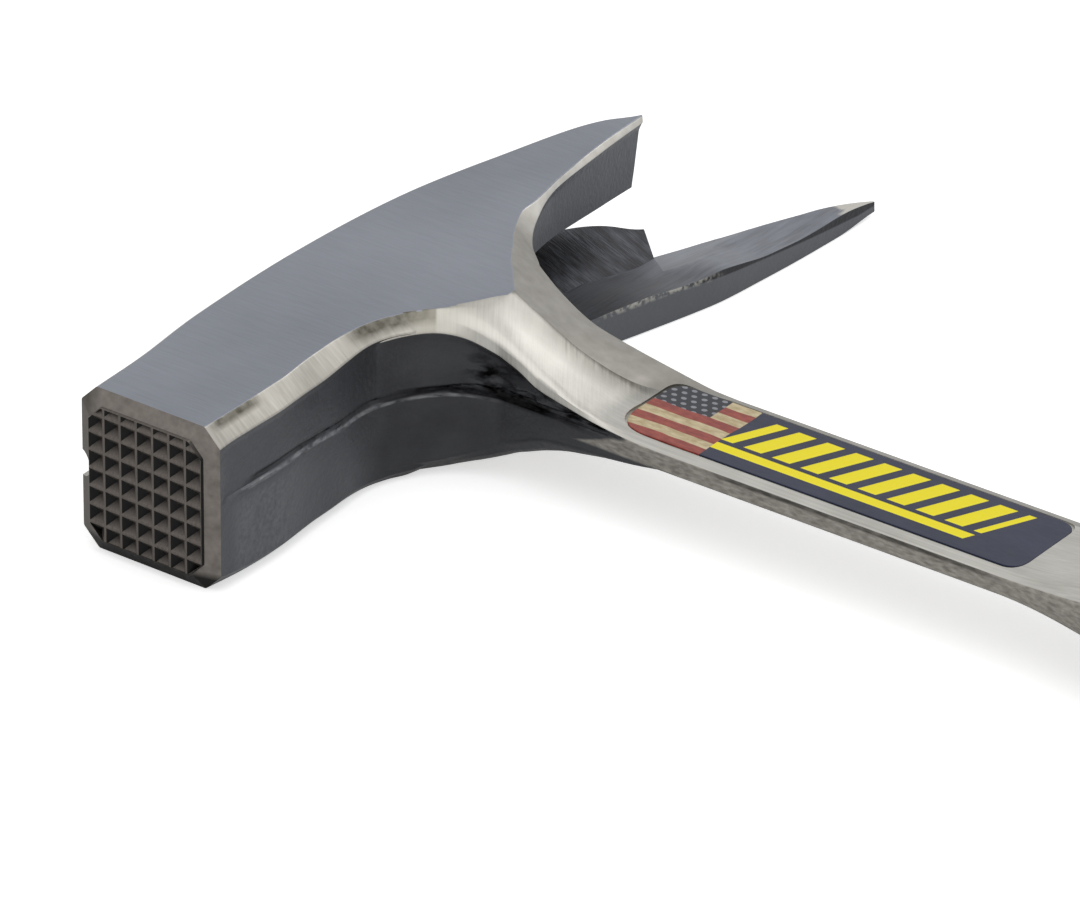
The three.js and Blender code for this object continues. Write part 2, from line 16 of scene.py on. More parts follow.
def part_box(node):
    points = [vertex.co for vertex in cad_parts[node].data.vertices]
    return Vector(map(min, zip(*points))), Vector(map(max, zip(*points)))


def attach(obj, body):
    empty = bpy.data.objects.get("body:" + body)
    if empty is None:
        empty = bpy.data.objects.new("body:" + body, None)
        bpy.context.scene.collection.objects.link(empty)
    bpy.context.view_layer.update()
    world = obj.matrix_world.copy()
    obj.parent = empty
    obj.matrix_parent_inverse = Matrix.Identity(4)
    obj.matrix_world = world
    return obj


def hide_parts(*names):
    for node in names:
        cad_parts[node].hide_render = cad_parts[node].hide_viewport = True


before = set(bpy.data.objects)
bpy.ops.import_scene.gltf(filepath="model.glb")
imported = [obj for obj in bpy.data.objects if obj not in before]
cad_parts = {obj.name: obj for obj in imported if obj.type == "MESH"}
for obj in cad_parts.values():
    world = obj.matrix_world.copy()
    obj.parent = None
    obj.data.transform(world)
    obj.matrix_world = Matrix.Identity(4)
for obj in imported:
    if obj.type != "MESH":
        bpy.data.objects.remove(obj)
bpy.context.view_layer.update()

MM = 0.001                      # metres in a millimetre

# Driving dimensions of the forging
OVERALL_LENGTH = 330            # crown to butt
HEAD_THICKNESS = 28             # cheek to cheek
FACE_WIDTH = 26.8               # striking face, crown side to throat side
FACE_BEVEL = 3                  # ground bevel along the edges of the head
RIM_RISE = 1.6                  # milled field in front of the head's bevelled end
RIM_WIDTH = 2.5                 # sloping rim round the milled field
JAW_REACH = 124                 # end of the head to the ends of the nail jaws
SPIKE_REACH = 162.7             # end of the head to the spike tip
SHANK_CENTRE = 64               # end of the head to the middle of the handle
SHANK_WIDTH = 21.2              # handle, face side to claw side
SHANK_THICKNESS = 4.9           # over the two flat faces of the shank
SHANK_EDGE = 3                  # height of the shank's narrow sides
SHANK_RIM = 2.8                 # sloping rim between a narrow side and the flat
SHANK_ROOT = 9                  # inside the cheek, where the shank is drawn from
SHANK_FLAT = 56                 # down the handle, where the shank is flat
FLARE_START = 118               # down the handle, where the shank starts to widen
FLARE_LENGTH = 46
COLLAR_END = 172                # down the handle, steel shoulder that the washers seat on
COLLAR_WIDTH = 32
COLLAR_THICKNESS = 23
COLLAR_ROUNDING = 1.2
TANG_WIDTH = 15
TANG_THICKNESS = 5

# Nail slot: a V between the jaws that opens towards the throat, with its vertex outside the crown
SLOT_ROOT = 94                  # end of the head to the closed end of the slot, at the vertex
SLOT_ROOT_OUT = 13              # vertex beyond the centre of the face, at the closed end
SLOT_MOUTH_OUT = 9.2            # the same at the ends of the jaws
SLOT_ROOT_DROP = 3.3            # vertex below the parting plane, at the closed end
SLOT_MOUTH_DROP = 2.7
SLOT_RAKE_SHARE = 0.47          # slope of the closed end, back towards the throat
LOWER_FLANK_SHARE = 0.416       # slopes of the sides of the V
UPPER_FLANK_SHARE = 0.457
UPPER_JAW_LEAN_SHARE = 0.21     # slope of the upper jaw's end, back from the cheek
LOWER_JAW_REACH = 124.9         # end of the head to the lower jaw's end, at the crown
LOWER_JAW_SKEW_SHARE = 0.78     # slope of the lower jaw's end, back towards the throat

# Top of the spike: one facet along its throat side and a steeper one along the crown
SPIKE_TOP_SLOPE_SHARE = 0.09
SPIKE_TOP_PIVOT = 18            # down the handle, where the throat-side facet has the heights listed below
CROWN_FACET_SLOPE_SHARE = 0.335
CROWN_FACET_FALL_SHARE = 0.095
CROWN_FACET_REACH = 127         # end of the head to the place where the next value is measured
CROWN_FACET_HEIGHT = 1.6        # spike's thickness at the crown

# Milled face
PIT_PITCH = 3.15
PIT_COLUMNS = 7
PIT_ROWS = 8
PIT_ROW_SHIFT = 0.7             # upwards, so that the rim cuts the top row
PIT_DEPTH = 1.3
PIT_LAND = 0.4                  # flat left between two pits
FIELD_STEP = 0.5                # side of the milled field above its rim
FIELD_STEP_LEAN = 0.15

# Nail groove in the crown, and its magnet
NAIL_GROOVE_RADIUS = 2.2
NAIL_GROOVE_LENGTH = 34
MAGNET_REACH = 22               # end of the head to the magnet
MAGNET_DIAMETER = 4
MAGNET_LENGTH = 4

# Printed film on the shank
FILM_START = 46                 # down the handle
FILM_LENGTH = 74.5
FILM_WIDTH = 16.6
FILM_THICKNESS = 0.25
FILM_RECESS = 0.4
FILM_CORNER = 3.4               # radius of the corners
FILM_SWEEP = 6                  # the corner by the throat, which is rounder
FILM_EDGE = 0.12                # soft edge of the film

# Grip
WASHER_COUNT = 22
SPACER_COUNT = 3                # at each end of the leather
SPACER_THICKNESS = 1.6
CAP_THICKNESS = 9
CAP_ROUNDING = 2
BUTT_WIDTH = 38
WASHER_EDGE = 0.35              # rounding of a washer's edges
WASHER_DRIFT = 0.12             # how far a washer's edge may lie below its neighbour's
RIVET_DIAMETER = 3
RIVET_HEAD = 6
RIVET_HEAD_HEIGHT = 1.5
RIVET_SINK = 0.2                # head below the face of the cap
RIVET_CROWN = 0.35              # rounding of the head
RIVET_SPACING = 8
RIVET_BITE = 10                 # how far a rivet goes into the tang

# Clearances
SEAT_GAP = 0.3                  # round a piece that sits in another
OVERRUN = 5                     # how far a cut starts outside what it cuts

# Traces of forging and grinding
EDGE_ROUNDING = 0.3             # radius left along the ground edges
BROW_ROUNDING = 3               # where the shank's root rolls over towards the face side
RIDGE_ROUNDING = 1              # between the cheek and the root
SKIN_DEPTH = 0.16               # hollows of the forged skin
SKIN_CELL = 2.6                 # width of one hollow
COARSE_CELL = 3 * SKIN_CELL     # width of the larger hollows under them
COARSE_SHARE = 0.6              # of the depth, which the larger hollows make up
DIE_SHIFT = 0.45                # step where the two dies met
DIE_SHIFT_HEIGHT = 0.3
SKIN_FADE = 2                   # distance from the face over which the forged skin begins
WEAR_BLEND = 0.2                # share of the next line round a section, over which the wear ends
SKIN_END = 50                   # down the handle, where the belt has taken the forged skin off
SKIN_END_BLEND = 5
BARE_START = 46                 # the same, where the belt left bare steel, in the parting plane
BARE_FULL = 47.5
BARE_HEIGHT = 1.5               # below the plane the steel is bare sooner and above it later, by this lead
BARE_LEAD = 5
BEVEL_END = (14.1, 52.8)        # down the handle and from the end of the head, where the root is ground
LAP_RISE = 0.9                  # middle of the fold above the parting line
LAP_HEIGHT = 1
LAP_DEPTH = 0.6
LAP_START = 6                   # end of the head to the start of the fold
FISSURE_START = 19              # down the handle, torn scale on the wall of the shank's root
FISSURE_FULL = 23
FISSURE_END = 46
FISSURE_RISE = 3.6              # middle of the torn band above the parting plane
FISSURE_HEIGHT = 6.5
FISSURE_DEPTH = 0.7
FISSURE_CELL = 2.2
CRACK_SHARES = (0.45, 0.65)     # random values between which a crack opens
BEVEL_WAVE = 0.3                # unevenness of the lower edge of a ground bevel
BEVEL_WAVE_LENGTH = 7
TIP_RISE = 0.7                  # how far the lower edge rises where the spike is ground to its point
TIP_LENGTH = 10
FACET_WAVE = 0.14               # unevenness of the spike's hand-ground facets
FACET_CELL = 3.2
FACET_STRETCH = (1, 0.4, 1)     # which makes that unevenness longer along the spike

# What the random fields start from
COARSE_SEED = 11
FINE_SEED = 12
CRACK_SEED = 13
BEVEL_SEEDS = (21, 31)
FACET_SEED = 41
GRIP_SEED = 5

HALF_HEAD = HEAD_THICKNESS / 2
HALF_FACE = FACE_WIDTH / 2
HALF_SHANK = SHANK_WIDTH / 2
FLAT_LEVEL = SHANK_THICKNESS / 2
EDGE_LEVEL = SHANK_EDGE / 2

# Outlines of the head: share of the spike's reach, share of half the face's width
CROWN_SHARES = [
    (0, -1), (0.067, -1.045), (0.172, -1.19), (0.332, -1.254), (0.479, -1.145), (0.602, -0.84),
    (0.688, -0.5), (0.73, -0.255), (0.762, 0.06), (0.836, 0.53), (0.921, 1.03), (1, 1.5),
]
# Throat side of both halves, under the neck and across the root of the shank
THROAT_SHARES = [
    (0, 1), (0.05, 1.007), (0.092, 1.007), (0.157, 0.933), (0.19, 0.91), (0.225, 0.876), (0.247, 0.893),
    (0.269, 0.98), (0.288, 1.1), (0.33, 1.2), (0.38, 1.27), (0.44, 1.25), (0.475, 1.17),
]
# The upper half runs on along its jaw, the lower one along its jaw and the spike
UPPER_THROAT_SHARES = THROAT_SHARES + [
    (0.499, 0.851), (0.529, 0.612), (0.567, 0.425), (0.604, 0.313), (0.682, 0.209), (0.719, 0.164),
    (0.762, 0.119),
]
LOWER_THROAT_SHARES = THROAT_SHARES + [
    (0.499, 1.03), (0.523, 0.933), (0.553, 0.88), (0.59, 0.92), (0.654, 1.1), (0.718, 1.285),
    (0.758, 1.38), (0.818, 1.445), (0.879, 1.495), (0.957, 1.53), (1, 1.54),
]
# Bevel along each of those edges: share of the spike's reach, share of the bevel at the face
UPPER_CROWN_BEVEL_SHARES = [(0, 1), (0.6, 0.93), (0.69, 0.5), (0.762, 0.08)]
UPPER_THROAT_BEVEL_SHARES = [
    (0, 1), (0.05, 1.03), (0.09, 1.1), (0.125, 1), (0.165, 1.05), (0.2, 1.05), (0.24, 0.85), (0.3, 1),
    (0.42, 1), (0.455, 1.35), (0.479, 1.75), (0.491, 1.32), (0.504, 1.03), (0.529, 0.78), (0.541, 0.52),
    (0.553, 0.32), (0.58, 0.12), (0.627, 0.12), (0.66, 0.22), (0.7, 0.22), (0.762, 0.08),
]
# How far that bevel comes down the throat wall
UPPER_THROAT_DROP_SHARES = [
    (0, 1), (0.03, 0.87), (0.125, 0.86), (0.165, 0.97), (0.2, 0.8), (0.24, 0.73), (0.42, 0.9),
    (0.479, 1.12), (0.504, 0.85), (0.541, 0.66), (0.566, 0.42), (0.6, 0.35), (0.7, 0.32), (0.762, 0.35),
]
LOWER_CROWN_BEVEL_SHARES = [(0, 1), (0.6, 0.93), (0.8, 0.5), (1, 0.05)]
LOWER_THROAT_BEVEL_SHARES = [
    (0, 1), (0.045, 0.75), (0.092, 0.7), (0.2, 0.62), (0.25, 0.5), (0.3, 0.6), (0.45, 0.7), (0.55, 0.3),
    (0.63, 0.12), (0.8, 0.08), (1, 0.05),
]
# Height of the spike's top along its throat side: share of the spike's reach, share of half the head
SPIKE_TOP_SHARES = [
    (0.46, -0.529), (0.651, -0.529), (0.718, -0.585), (0.757, -0.586), (0.788, -0.636), (0.818, -0.7),
    (0.848, -0.726), (0.879, -0.745), (0.918, -0.745), (0.95, -0.745), (0.98, -0.785), (1.03, -0.9),
]
# Parting line on the throat side: share of the spike's reach, share of half the head
PARTING_SHARES = [
    (0, 0.1), (0.073, 0.1), (0.122, 0.09), (0.165, 0.036), (0.246, 0), (0.263, 0.04), (0.3, 0.01),
    (0.323, 0.055), (0.4, 0),
]
# Root of the shank, where it runs down from the cheek, as the five corners of its upper half. Each row is
# the share of the way from SHANK_ROOT to SHANK_FLAT and the corner's share of half the shank's width.
FACE_EDGE_SHARES = [
    (0, -2.45), (0.06, -2.2), (0.09, -1.906), (0.128, -1.623), (0.179, -1.358), (0.243, -1.151),
    (0.319, -1.038), (0.362, -1), (1, -1),
]
FACE_FLAT_SHARES = [
    (0, -1.75), (0.06, -1.6), (0.09, -1.42), (0.125, -1.24), (0.18, -1.03), (0.22, -0.975),
    (0.265, -0.955), (0.36, -0.93), (0.51, -0.915), (0.668, -0.93), (0.755, -0.88), (0.85, -0.8),
    (1, -0.736),
]
RIDGE_SHARES = [
    (0, -1.698), (0.06, -1.538), (0.125, -1.16), (0.18, -0.755), (0.265, -0.142), (0.36, -0.15),
    (0.51, -0.07), (0.668, 0), (1, 0),
]
CLAW_FLAT_SHARES = [
    (0, 1.132), (0.06, 1.038), (0.125, 0.642), (0.18, 0.358), (0.265, -0.06), (0.36, -0.03),
    (0.51, 0.06), (0.668, 0.2), (0.755, 0.37), (1, 0.736),
]
CLAW_EDGE_SHARES = [
    (0, 1.698), (0.06, 1.557), (0.125, 1.302), (0.18, 1.17), (0.265, 1.047), (0.36, 1.01), (0.436, 1),
    (1, 1),
]
# Rise of those corners, as a share of the way up to the cheek
FACE_RISE_SHARES = [
    (0, 0.776), (0.125, 0.784), (0.18, 0.76), (0.265, 0.664), (0.36, 0.528), (0.436, 0.416),
    (0.51, 0.264), (0.668, 0.128), (0.755, 0.068), (0.9, 0.012), (1, 0),
]
FACE_FLAT_RISE_SHARES = [
    (0, 1), (0.1, 1), (0.15, 0.985), (0.18, 0.965), (0.22, 0.921), (0.265, 0.861), (0.31, 0.794),
    (0.36, 0.714), (0.436, 0.575), (0.51, 0.41), (0.587, 0.28), (0.668, 0.16), (0.755, 0.06),
    (0.85, 0.01), (1, 0),
]
FLAT_RISE_SHARES = [
    (0, 1), (0.2, 1), (0.265, 0.985), (0.36, 0.755), (0.436, 0.56), (0.51, 0.383), (0.587, 0.24),
    (0.668, 0.113), (0.755, 0.004), (1, 0),
]
CLAW_RISE_SHARES = [
    (0, 0.76), (0.125, 0.76), (0.18, 0.72), (0.265, 0.6), (0.36, 0.424), (0.436, 0.32), (0.587, 0.208),
    (0.755, 0.104), (0.9, 0.02), (1, 0),
]
# The same for the lower half's two corners on the face side
LOWER_FACE_FLAT_RISE_SHARES = [
    (0, 1), (0.1, 1), (0.15, 0.98), (0.18, 0.95), (0.245, 0.85), (0.355, 0.642), (0.404, 0.541),
    (0.468, 0.446), (0.549, 0.316), (0.628, 0.21), (0.745, 0.125), (0.904, 0.05), (1, 0),
]
LOWER_FACE_RISE_SHARES = [
    (0, 0.776), (0.125, 0.784), (0.18, 0.755), (0.28, 0.608), (0.357, 0.468), (0.447, 0.325),
    (0.515, 0.215), (0.6, 0.165), (0.7, 0.13), (0.8, 0.1), (0.9, 0.06), (1, 0),
]
# Grip: share of its length, share of half the butt's width or of half the head
GRIP_WIDTH_SHARES = [(0, 0.842), (0.12, 0.8), (0.36, 0.874), (0.62, 0.83), (0.84, 0.83), (1, 1)]
GRIP_DEPTH_SHARES = [(0, 0.821), (0.12, 0.807), (0.4, 0.9), (0.7, 0.871), (0.86, 0.9), (1, 1)]

# Fineness of the meshes
HEAD_SECTIONS = 216
CROWN_PARTS = 14                # up a wall of the head
THROAT_PARTS = 48
BEVEL_PARTS = 3
ROOT_SECTIONS = 90
FLARE_SECTIONS = 36
CORNER_TURNS = 3                # facets round a rounded edge
TURN_SHARE = 0.1                # of a line's number, which the facets on either side of its end count for
TURN_LIMIT_SHARE = 0.4          # of a line, the most that a rounding takes up
SHORTEST_LINE = 1e-6
OVAL_POINTS = 96
ROUND_POINTS = 32
FILM_CORNER_POINTS = 10
SHOULDER_POINTS = 6
DOME_POINTS = 8                 # along the rounded end of the nail groove
DOME_SHARE = 0.94               # of a quarter turn, after which its flat end begins
RIVET_POINTS = 5
RIVET_SHARE = 0.9               # of a quarter turn round the edge of a rivet's head
SPIKE_GRID_STEP = 1
LATTICE_SIZE = 64               # cubes along a random field, before it repeats


# Curves and fields

def share_at(rows, place):
    """A smooth curve through (place, value) rows: one cubic between neighbours, whose slope at each row
    is that of the line from the row before it to the row after it. Past the last row it keeps the last
    value."""
    places, values = np.array(rows, float).T
    order = np.arange(len(rows))
    before = np.maximum(order - 1, 0)
    after = np.minimum(order + 1, len(rows) - 1)
    slopes = (values[after] - values[before]) / (places[after] - places[before])
    row = np.searchsorted(places[1:-1], place)
    span = places[row + 1] - places[row]
    step = np.minimum((place - places[row]) / span, 1)
    square = step * step
    cube = square * step
    return (values[row] * (2 * cube - 3 * square + 1) + values[row + 1] * (3 * square - 2 * cube)
            + slopes[row] * span * (cube - 2 * square + step) + slopes[row + 1] * span * (cube - square))


def random_field(points, cell, seed):
    """A smooth random value from 0 to 1 at each point: random numbers on a lattice of cubes of that size,
    blended across each cube with the weight 3t² - 2t³ along every axis."""
    lattice = np.random.default_rng(seed).random((LATTICE_SIZE,) * 3)
    scaled = np.asarray(points, float) / cell
    base = np.floor(scaled).astype(int)
    step = scaled - base
    weight = step * step * (3 - 2 * step)
    total = np.zeros(scaled.shape[:-1])
    for corner in np.ndindex(2, 2, 2):
        share = np.prod(np.where(corner, weight, 1 - weight), axis=-1)
        x, y, z = np.moveaxis((base + corner) % len(lattice), -1, 0)
        total += share * lattice[x, y, z]
    return total


def ease(value, start, end):
    """From 0 at start to 1 at end, with level ends: 3t² - 2t³."""
    step = np.clip((value - start) / (end - start), 0, 1)
    return step * step * (3 - 2 * step)


def parabola(turn, first, corner, last):
    """Curve from first to last that leaves both along the lines through the corner."""
    return (1 - turn) ** 2 * first + 2 * turn * (1 - turn) * corner + turn ** 2 * last


def rounding(size, points, share=1):
    """How far points on a quarter circle, or on a share of it, lie inside its start and short of its
    end."""
    turn = np.linspace(0, share, points) * np.pi / 2
    return size * (1 - np.cos(turn)), size * (1 - np.sin(turn))


def rounded_path(corners, parts, radii):
    """Straight lines through corners, each cut into its number of parts, with rounded inner corners.

    corners has the shape (sections, corners, 2). A rounding is the parabola that leaves both lines at its
    radius from the corner, or sooner where a line is short. Returns the points, the number of the line
    that each point belongs to as a fraction, and the number of the line that each strip belongs to."""
    steps = np.diff(corners, axis=1)
    lengths = np.maximum(np.linalg.norm(steps, axis=2, keepdims=True), SHORTEST_LINE)
    radii = np.broadcast_to(radii, len(parts) - 1)
    limits = lengths * TURN_LIMIT_SHARE
    starts = np.minimum(np.append(0, radii)[:, None], limits) / lengths
    ends = np.minimum(np.append(radii, 0)[:, None], limits) / lengths
    points, lines, strips = [], [], []
    last = len(parts) - 1
    half_turns = CORNER_TURNS // 2
    for line, count in enumerate(parts):
        share = np.linspace(0, 1, count + 1)[:, None, None]
        along = starts[:, line] + share * (1 - ends[:, line] - starts[:, line])
        points.append(corners[None, :, line] + along * steps[None, :, line])
        first = line + TURN_SHARE * (line > 0)
        final = line + 1 - TURN_SHARE * (line < last)
        lines.append(np.linspace(first, final, count + 1))
        strips.extend([line] * count)
        if line < last:
            corner = corners[:, line + 1]
            before = corner - ends[:, line] * steps[:, line]
            after = corner + starts[:, line + 1] * steps[:, line + 1]
            turn = np.linspace(0, 1, CORNER_TURNS + 1)[1:-1, None, None]
            points.append(parabola(turn, before, corner, after))
            lines.append(line + 1 + TURN_SHARE * (2 * turn[:, 0, 0] - 1))
            strips.extend([line] * (half_turns + 1) + [line + 1] * (CORNER_TURNS - half_turns - 1))
    return np.moveaxis(np.concatenate(points), 0, 1), np.concatenate(lines), np.array(strips)


# Closed bodies

(LACQUERED_CHEEK, GROUND_BEVEL, SATIN_RIM, FORGED_SKIN, FACE_RIM, MILLED_FACE, SLOT_FLANK, SLOT_BED,
 SPIKE_FACET, GROUND_SHANK) = range(10)


def tool_place():
    """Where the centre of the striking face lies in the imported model, in millimetres: the forging's
    lowest corner is its highest crown, the milled field and the lower cheek."""
    crown_rise = -np.min(crown_at(np.linspace(0, 1, HEAD_SECTIONS + 1)))
    low = np.array(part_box("forged_body")[0]) / MM
    return low + (crown_rise, RIM_RISE, HALF_HEAD)


def crown_at(place):
    return share_at(CROWN_SHARES, place) * HALF_FACE


def in_frame(points):
    return (np.asarray(points, float) + TOOL_PLACE) * MM


def mesh_of(points, faces, finishes=None):
    """Mesh in the frame from points in tool millimetres, with its faces turned outwards."""
    mesh = bpy.data.meshes.new("body")
    mesh.from_pydata(in_frame(points).tolist(), [], faces)
    if finishes is not None:
        mesh.polygons.foreach_set("material_index", np.asarray(finishes, np.int32))
    shape = bmesh.new()
    shape.from_mesh(mesh)
    bmesh.ops.recalc_face_normals(shape, faces=shape.faces)
    shape.to_mesh(mesh)
    shape.free()
    return mesh


def quads_between(rings, size, closed=False):
    """Point numbers of the quads between neighbouring rings, and of those from the last to the first if
    closed."""
    ring, corner = np.indices((rings if closed else rings - 1, size))
    after, beside = (ring + 1) % rings, (corner + 1) % size
    ends = [(ring, corner), (ring, beside), (after, beside), (after, corner)]
    return np.stack([a * size + b for a, b in ends], axis=-1).reshape(-1, 4).tolist()


def skin(rings, finish, cap_finish=None):
    """Closed body over rings with the same number of points, with flat ends. finish is one number, one
    for each strip between neighbouring points of a ring, or one for each band between neighbouring
    rings."""
    count, size = rings.shape[:2]
    first, last = (list(range(start, start + size)) for start in (0, (count - 1) * size))
    strips = np.broadcast_to(finish, (count - 1, size)).ravel()
    ends = np.broadcast_to(finish if cap_finish is None else cap_finish, 2)
    faces = quads_between(count, size) + [first, last]
    return mesh_of(rings.reshape(-1, 3), faces, np.append(strips, ends))


def block(low, high, finish):
    """Box between two corners."""
    x0, y0, z0 = low
    x1, y1, z1 = high
    ring = np.array([(y0, z0), (y1, z0), (y1, z1), (y0, z1)])
    rings = np.stack([np.insert(ring, 0, x, axis=1) for x in (x0, x1)])
    return skin(rings, finish)


def turned(along, radii, centre, direction, finish, points=ROUND_POINTS):
    """Round body: circles of the given radii at the given distances along a direction from the centre."""
    axis = np.array(direction, float) / np.linalg.norm(direction)
    side = np.cross(axis, (0, 0, 1))
    side /= np.linalg.norm(side)
    angle = np.linspace(0, 2 * np.pi, points, endpoint=False)
    circle = np.cos(angle)[:, None] * side + np.sin(angle)[:, None] * np.cross(axis, side)
    along, radii = np.array(along, float), np.array(radii, float)
    rings = centre + along[:, None, None] * axis + radii[:, None, None] * circle
    return skin(rings, finish)


def space_over(x, y, heights, top, finish):
    """Closed block between a surface, given by its heights over a grid of x and y, and a flat top."""
    columns, rows = heights.shape
    grid_x, grid_y = np.meshgrid(x, y, indexing="ij")
    points = np.stack([grid_x, grid_y, heights], axis=-1).reshape(-1, 3)
    corners = np.array([(x[0], y[0], top), (x[-1], y[0], top), (x[-1], y[-1], top), (x[0], y[-1], top)])
    number = np.arange(columns * rows).reshape(columns, rows)
    a, b, c, d = number[:-1, :-1], number[1:, :-1], number[1:, 1:], number[:-1, 1:]
    quads = np.stack([a, b, c, d], axis=-1).reshape(-1, 4).tolist()
    p, q, r, s = np.arange(4) + columns * rows
    sides = [
        [*number[:, 0].tolist(), q, p],
        [*number[-1, :].tolist(), r, q],
        [*number[::-1, -1].tolist(), s, r],
        [*number[0, ::-1].tolist(), p, s],
        [p, q, r, s],
    ]
    faces = quads + [[int(corner) for corner in side] for side in sides]
    return mesh_of(np.concatenate([points, corners]), faces, np.full(len(faces), finish))


def placed(name, mesh):
    piece = bpy.data.objects.new(name, mesh)
    bpy.context.scene.collection.objects.link(piece)
    return piece


def applied(piece, *helpers):
    """Mesh of a piece with its modifiers carried out. The piece and its helpers are removed."""
    bpy.context.view_layer.update()
    evaluated = piece.evaluated_get(bpy.context.evaluated_depsgraph_get())
    mesh = bpy.data.meshes.new_from_object(evaluated)
    for used in (piece, *helpers):
        bpy.data.objects.remove(used)
    return mesh


def combined(operation, base, *tools):
    """One closed body from a base and tools: their UNION, DIFFERENCE or INTERSECT."""
    piece = placed("base", base)
    helpers = [placed("tool", tool) for tool in tools]
    for helper in helpers:
        modifier = piece.modifiers.new(operation.lower(), "BOOLEAN")
        modifier.operation = operation
        modifier.solver = "MANIFOLD"
        modifier.object = helper
    return applied(piece, *helpers)


# The forging

def forged_wear(points, on_throat):
    """How far the forged skin lies inside the drawn wall: two sizes of hollow and, on the throat side,
    the step where the upper die stood back from the lower one, a fold of steel over it, and torn scale by
    the handle."""
    x, y, z = np.moveaxis(points, -1, 0)
    coarse = random_field(points, COARSE_CELL, COARSE_SEED)
    fine = random_field(points, SKIN_CELL, FINE_SEED)
    above = z - share_at(PARTING_SHARES, y / SPIKE_REACH) * HALF_HEAD - DIE_SHIFT_HEIGHT * coarse
    fold = ease(np.abs(above - LAP_RISE), LAP_HEIGHT / 2, 0) * ease(y, LAP_START, 2 * LAP_START)
    step = DIE_SHIFT * ease(above, 0, DIE_SHIFT_HEIGHT) + LAP_DEPTH * fold * (1 + fine) / 2
    begun = ease(x, FISSURE_START, FISSURE_START + FISSURE_HEIGHT)
    torn = begun * ease(x, FISSURE_END, FISSURE_END - FISSURE_HEIGHT)
    torn = torn * ease(np.abs(z - FISSURE_RISE), FISSURE_HEIGHT / 2, 0)
    crack = ease(random_field(points, FISSURE_CELL, CRACK_SEED), *CRACK_SHARES)
    hollows = SKIN_DEPTH * (COARSE_SHARE * coarse + (1 - COARSE_SHARE) * fine)
    return hollows + on_throat * (step + FISSURE_DEPTH * torn * crack)


def head_outline(place, side, throat_shares, *bevel_shares):
    """Sections of half the head from the crown to the throat, at z = 0, up the crown wall, over its
    bevel, across the cheek, over the throat's bevel and back down. The lower edge of each bevel wanders a
    little, and the walls carry the wear of the forged skin."""
    y = place * SPIKE_REACH
    crown = crown_at(place)
    throat = share_at(throat_shares, place) * HALF_FACE
    crown_bevel, throat_bevel, throat_drop = (share_at(rows, place) * FACE_BEVEL for rows in bevel_shares)
    settled = ease(y, 0, SKIN_FADE)
    along = np.stack([y, np.zeros_like(y), np.zeros_like(y)], axis=-1)
    waves = [BEVEL_WAVE * settled * (random_field(along, BEVEL_WAVE_LENGTH, seed + side) - 1 / 2)
             for seed in BEVEL_SEEDS]
    crown_drop = crown_bevel + waves[0] * np.minimum(crown_bevel / FACE_BEVEL, 1)
    throat_drop = throat_drop + waves[1] * np.minimum(throat_bevel / FACE_BEVEL, 1)
    zero = np.zeros_like(place)
    level = HALF_HEAD - TIP_RISE * ease(y, SPIKE_REACH - TIP_LENGTH, SPIKE_REACH)
    corners = np.array([
        (crown, zero), (crown, level - crown_drop), (crown + crown_bevel, level),
        (throat - throat_bevel, level), (throat, level - throat_drop), (throat, zero),
    ])
    parts = (CROWN_PARTS, BEVEL_PARTS, 1, BEVEL_PARTS, THROAT_PARTS)
    path, lines, strips = rounded_path(np.moveaxis(corners, -1, 0), parts, EDGE_ROUNDING)
    across = np.broadcast_to(y[:, None], path.shape[:2])
    points = np.stack([path[..., 0], across, side * path[..., 1]], axis=-1)
    on_crown = ease(lines, 1, 1 - WEAR_BLEND)
    on_throat = ease(lines, len(parts) - 1, len(parts) - 1 + WEAR_BLEND)
    points[..., 0] += (on_crown - on_throat) * forged_wear(points, on_throat) * settled[:, None]
    return points, strips


# Side of the parting plane, outline of the throat, bevels of crown and throat, drop of the throat's bevel
UPPER_HALF = (
    1, UPPER_THROAT_SHARES, UPPER_CROWN_BEVEL_SHARES, UPPER_THROAT_BEVEL_SHARES, UPPER_THROAT_DROP_SHARES)
LOWER_HALF = (
    -1, LOWER_THROAT_SHARES, LOWER_CROWN_BEVEL_SHARES, LOWER_THROAT_BEVEL_SHARES, LOWER_THROAT_BEVEL_SHARES)
HALF_FINISHES = np.array([FORGED_SKIN, GROUND_BEVEL, LACQUERED_CHEEK, GROUND_BEVEL, FORGED_SKIN])
THROAT_BEVEL = 3                # its place among those finishes


def head_half(places, half, throat_finish, jaw_finish):
    """Half the head, with one finish on its throat bevel up to the handle and another past it."""
    points, strips = head_outline(places, *half)
    past_handle = places[:-1, None] * SPIKE_REACH > SHANK_CENTRE
    bevel_finish = np.where(past_handle, jaw_finish, throat_finish)
    finishes = np.where(strips == THROAT_BEVEL, bevel_finish, HALF_FINISHES[strips])
    closing = np.full((len(finishes), 1), FORGED_SKIN)
    return skin(points, np.concatenate([finishes, closing], axis=1), FORGED_SKIN)


def face_outline(inset, y):
    """Outline of the end of the head, drawn in by an inset, at a place along y."""
    end = np.zeros(1)
    upper, lower = (head_outline(end, *half)[0][0] for half in (UPPER_HALF, LOWER_HALF))
    rim = np.concatenate([upper, lower[-2:0:-1]])
    return rim * (1 - inset / HALF_FACE, 1, 1 - inset / HALF_HEAD) + (0, y, 0)


def striking_end():
    """Seat inside the head, sloping rim, and the raised field with its low side, before it is milled."""
    rings = [
        face_outline(RIM_WIDTH, FACE_BEVEL),
        face_outline(0, 0),
        face_outline(RIM_WIDTH - FIELD_STEP_LEAN, FIELD_STEP - RIM_RISE),
        face_outline(RIM_WIDTH, -RIM_RISE),
    ]
    return skin(np.stack(rings), [[FACE_RIM], [FACE_RIM], [MILLED_FACE]], MILLED_FACE)


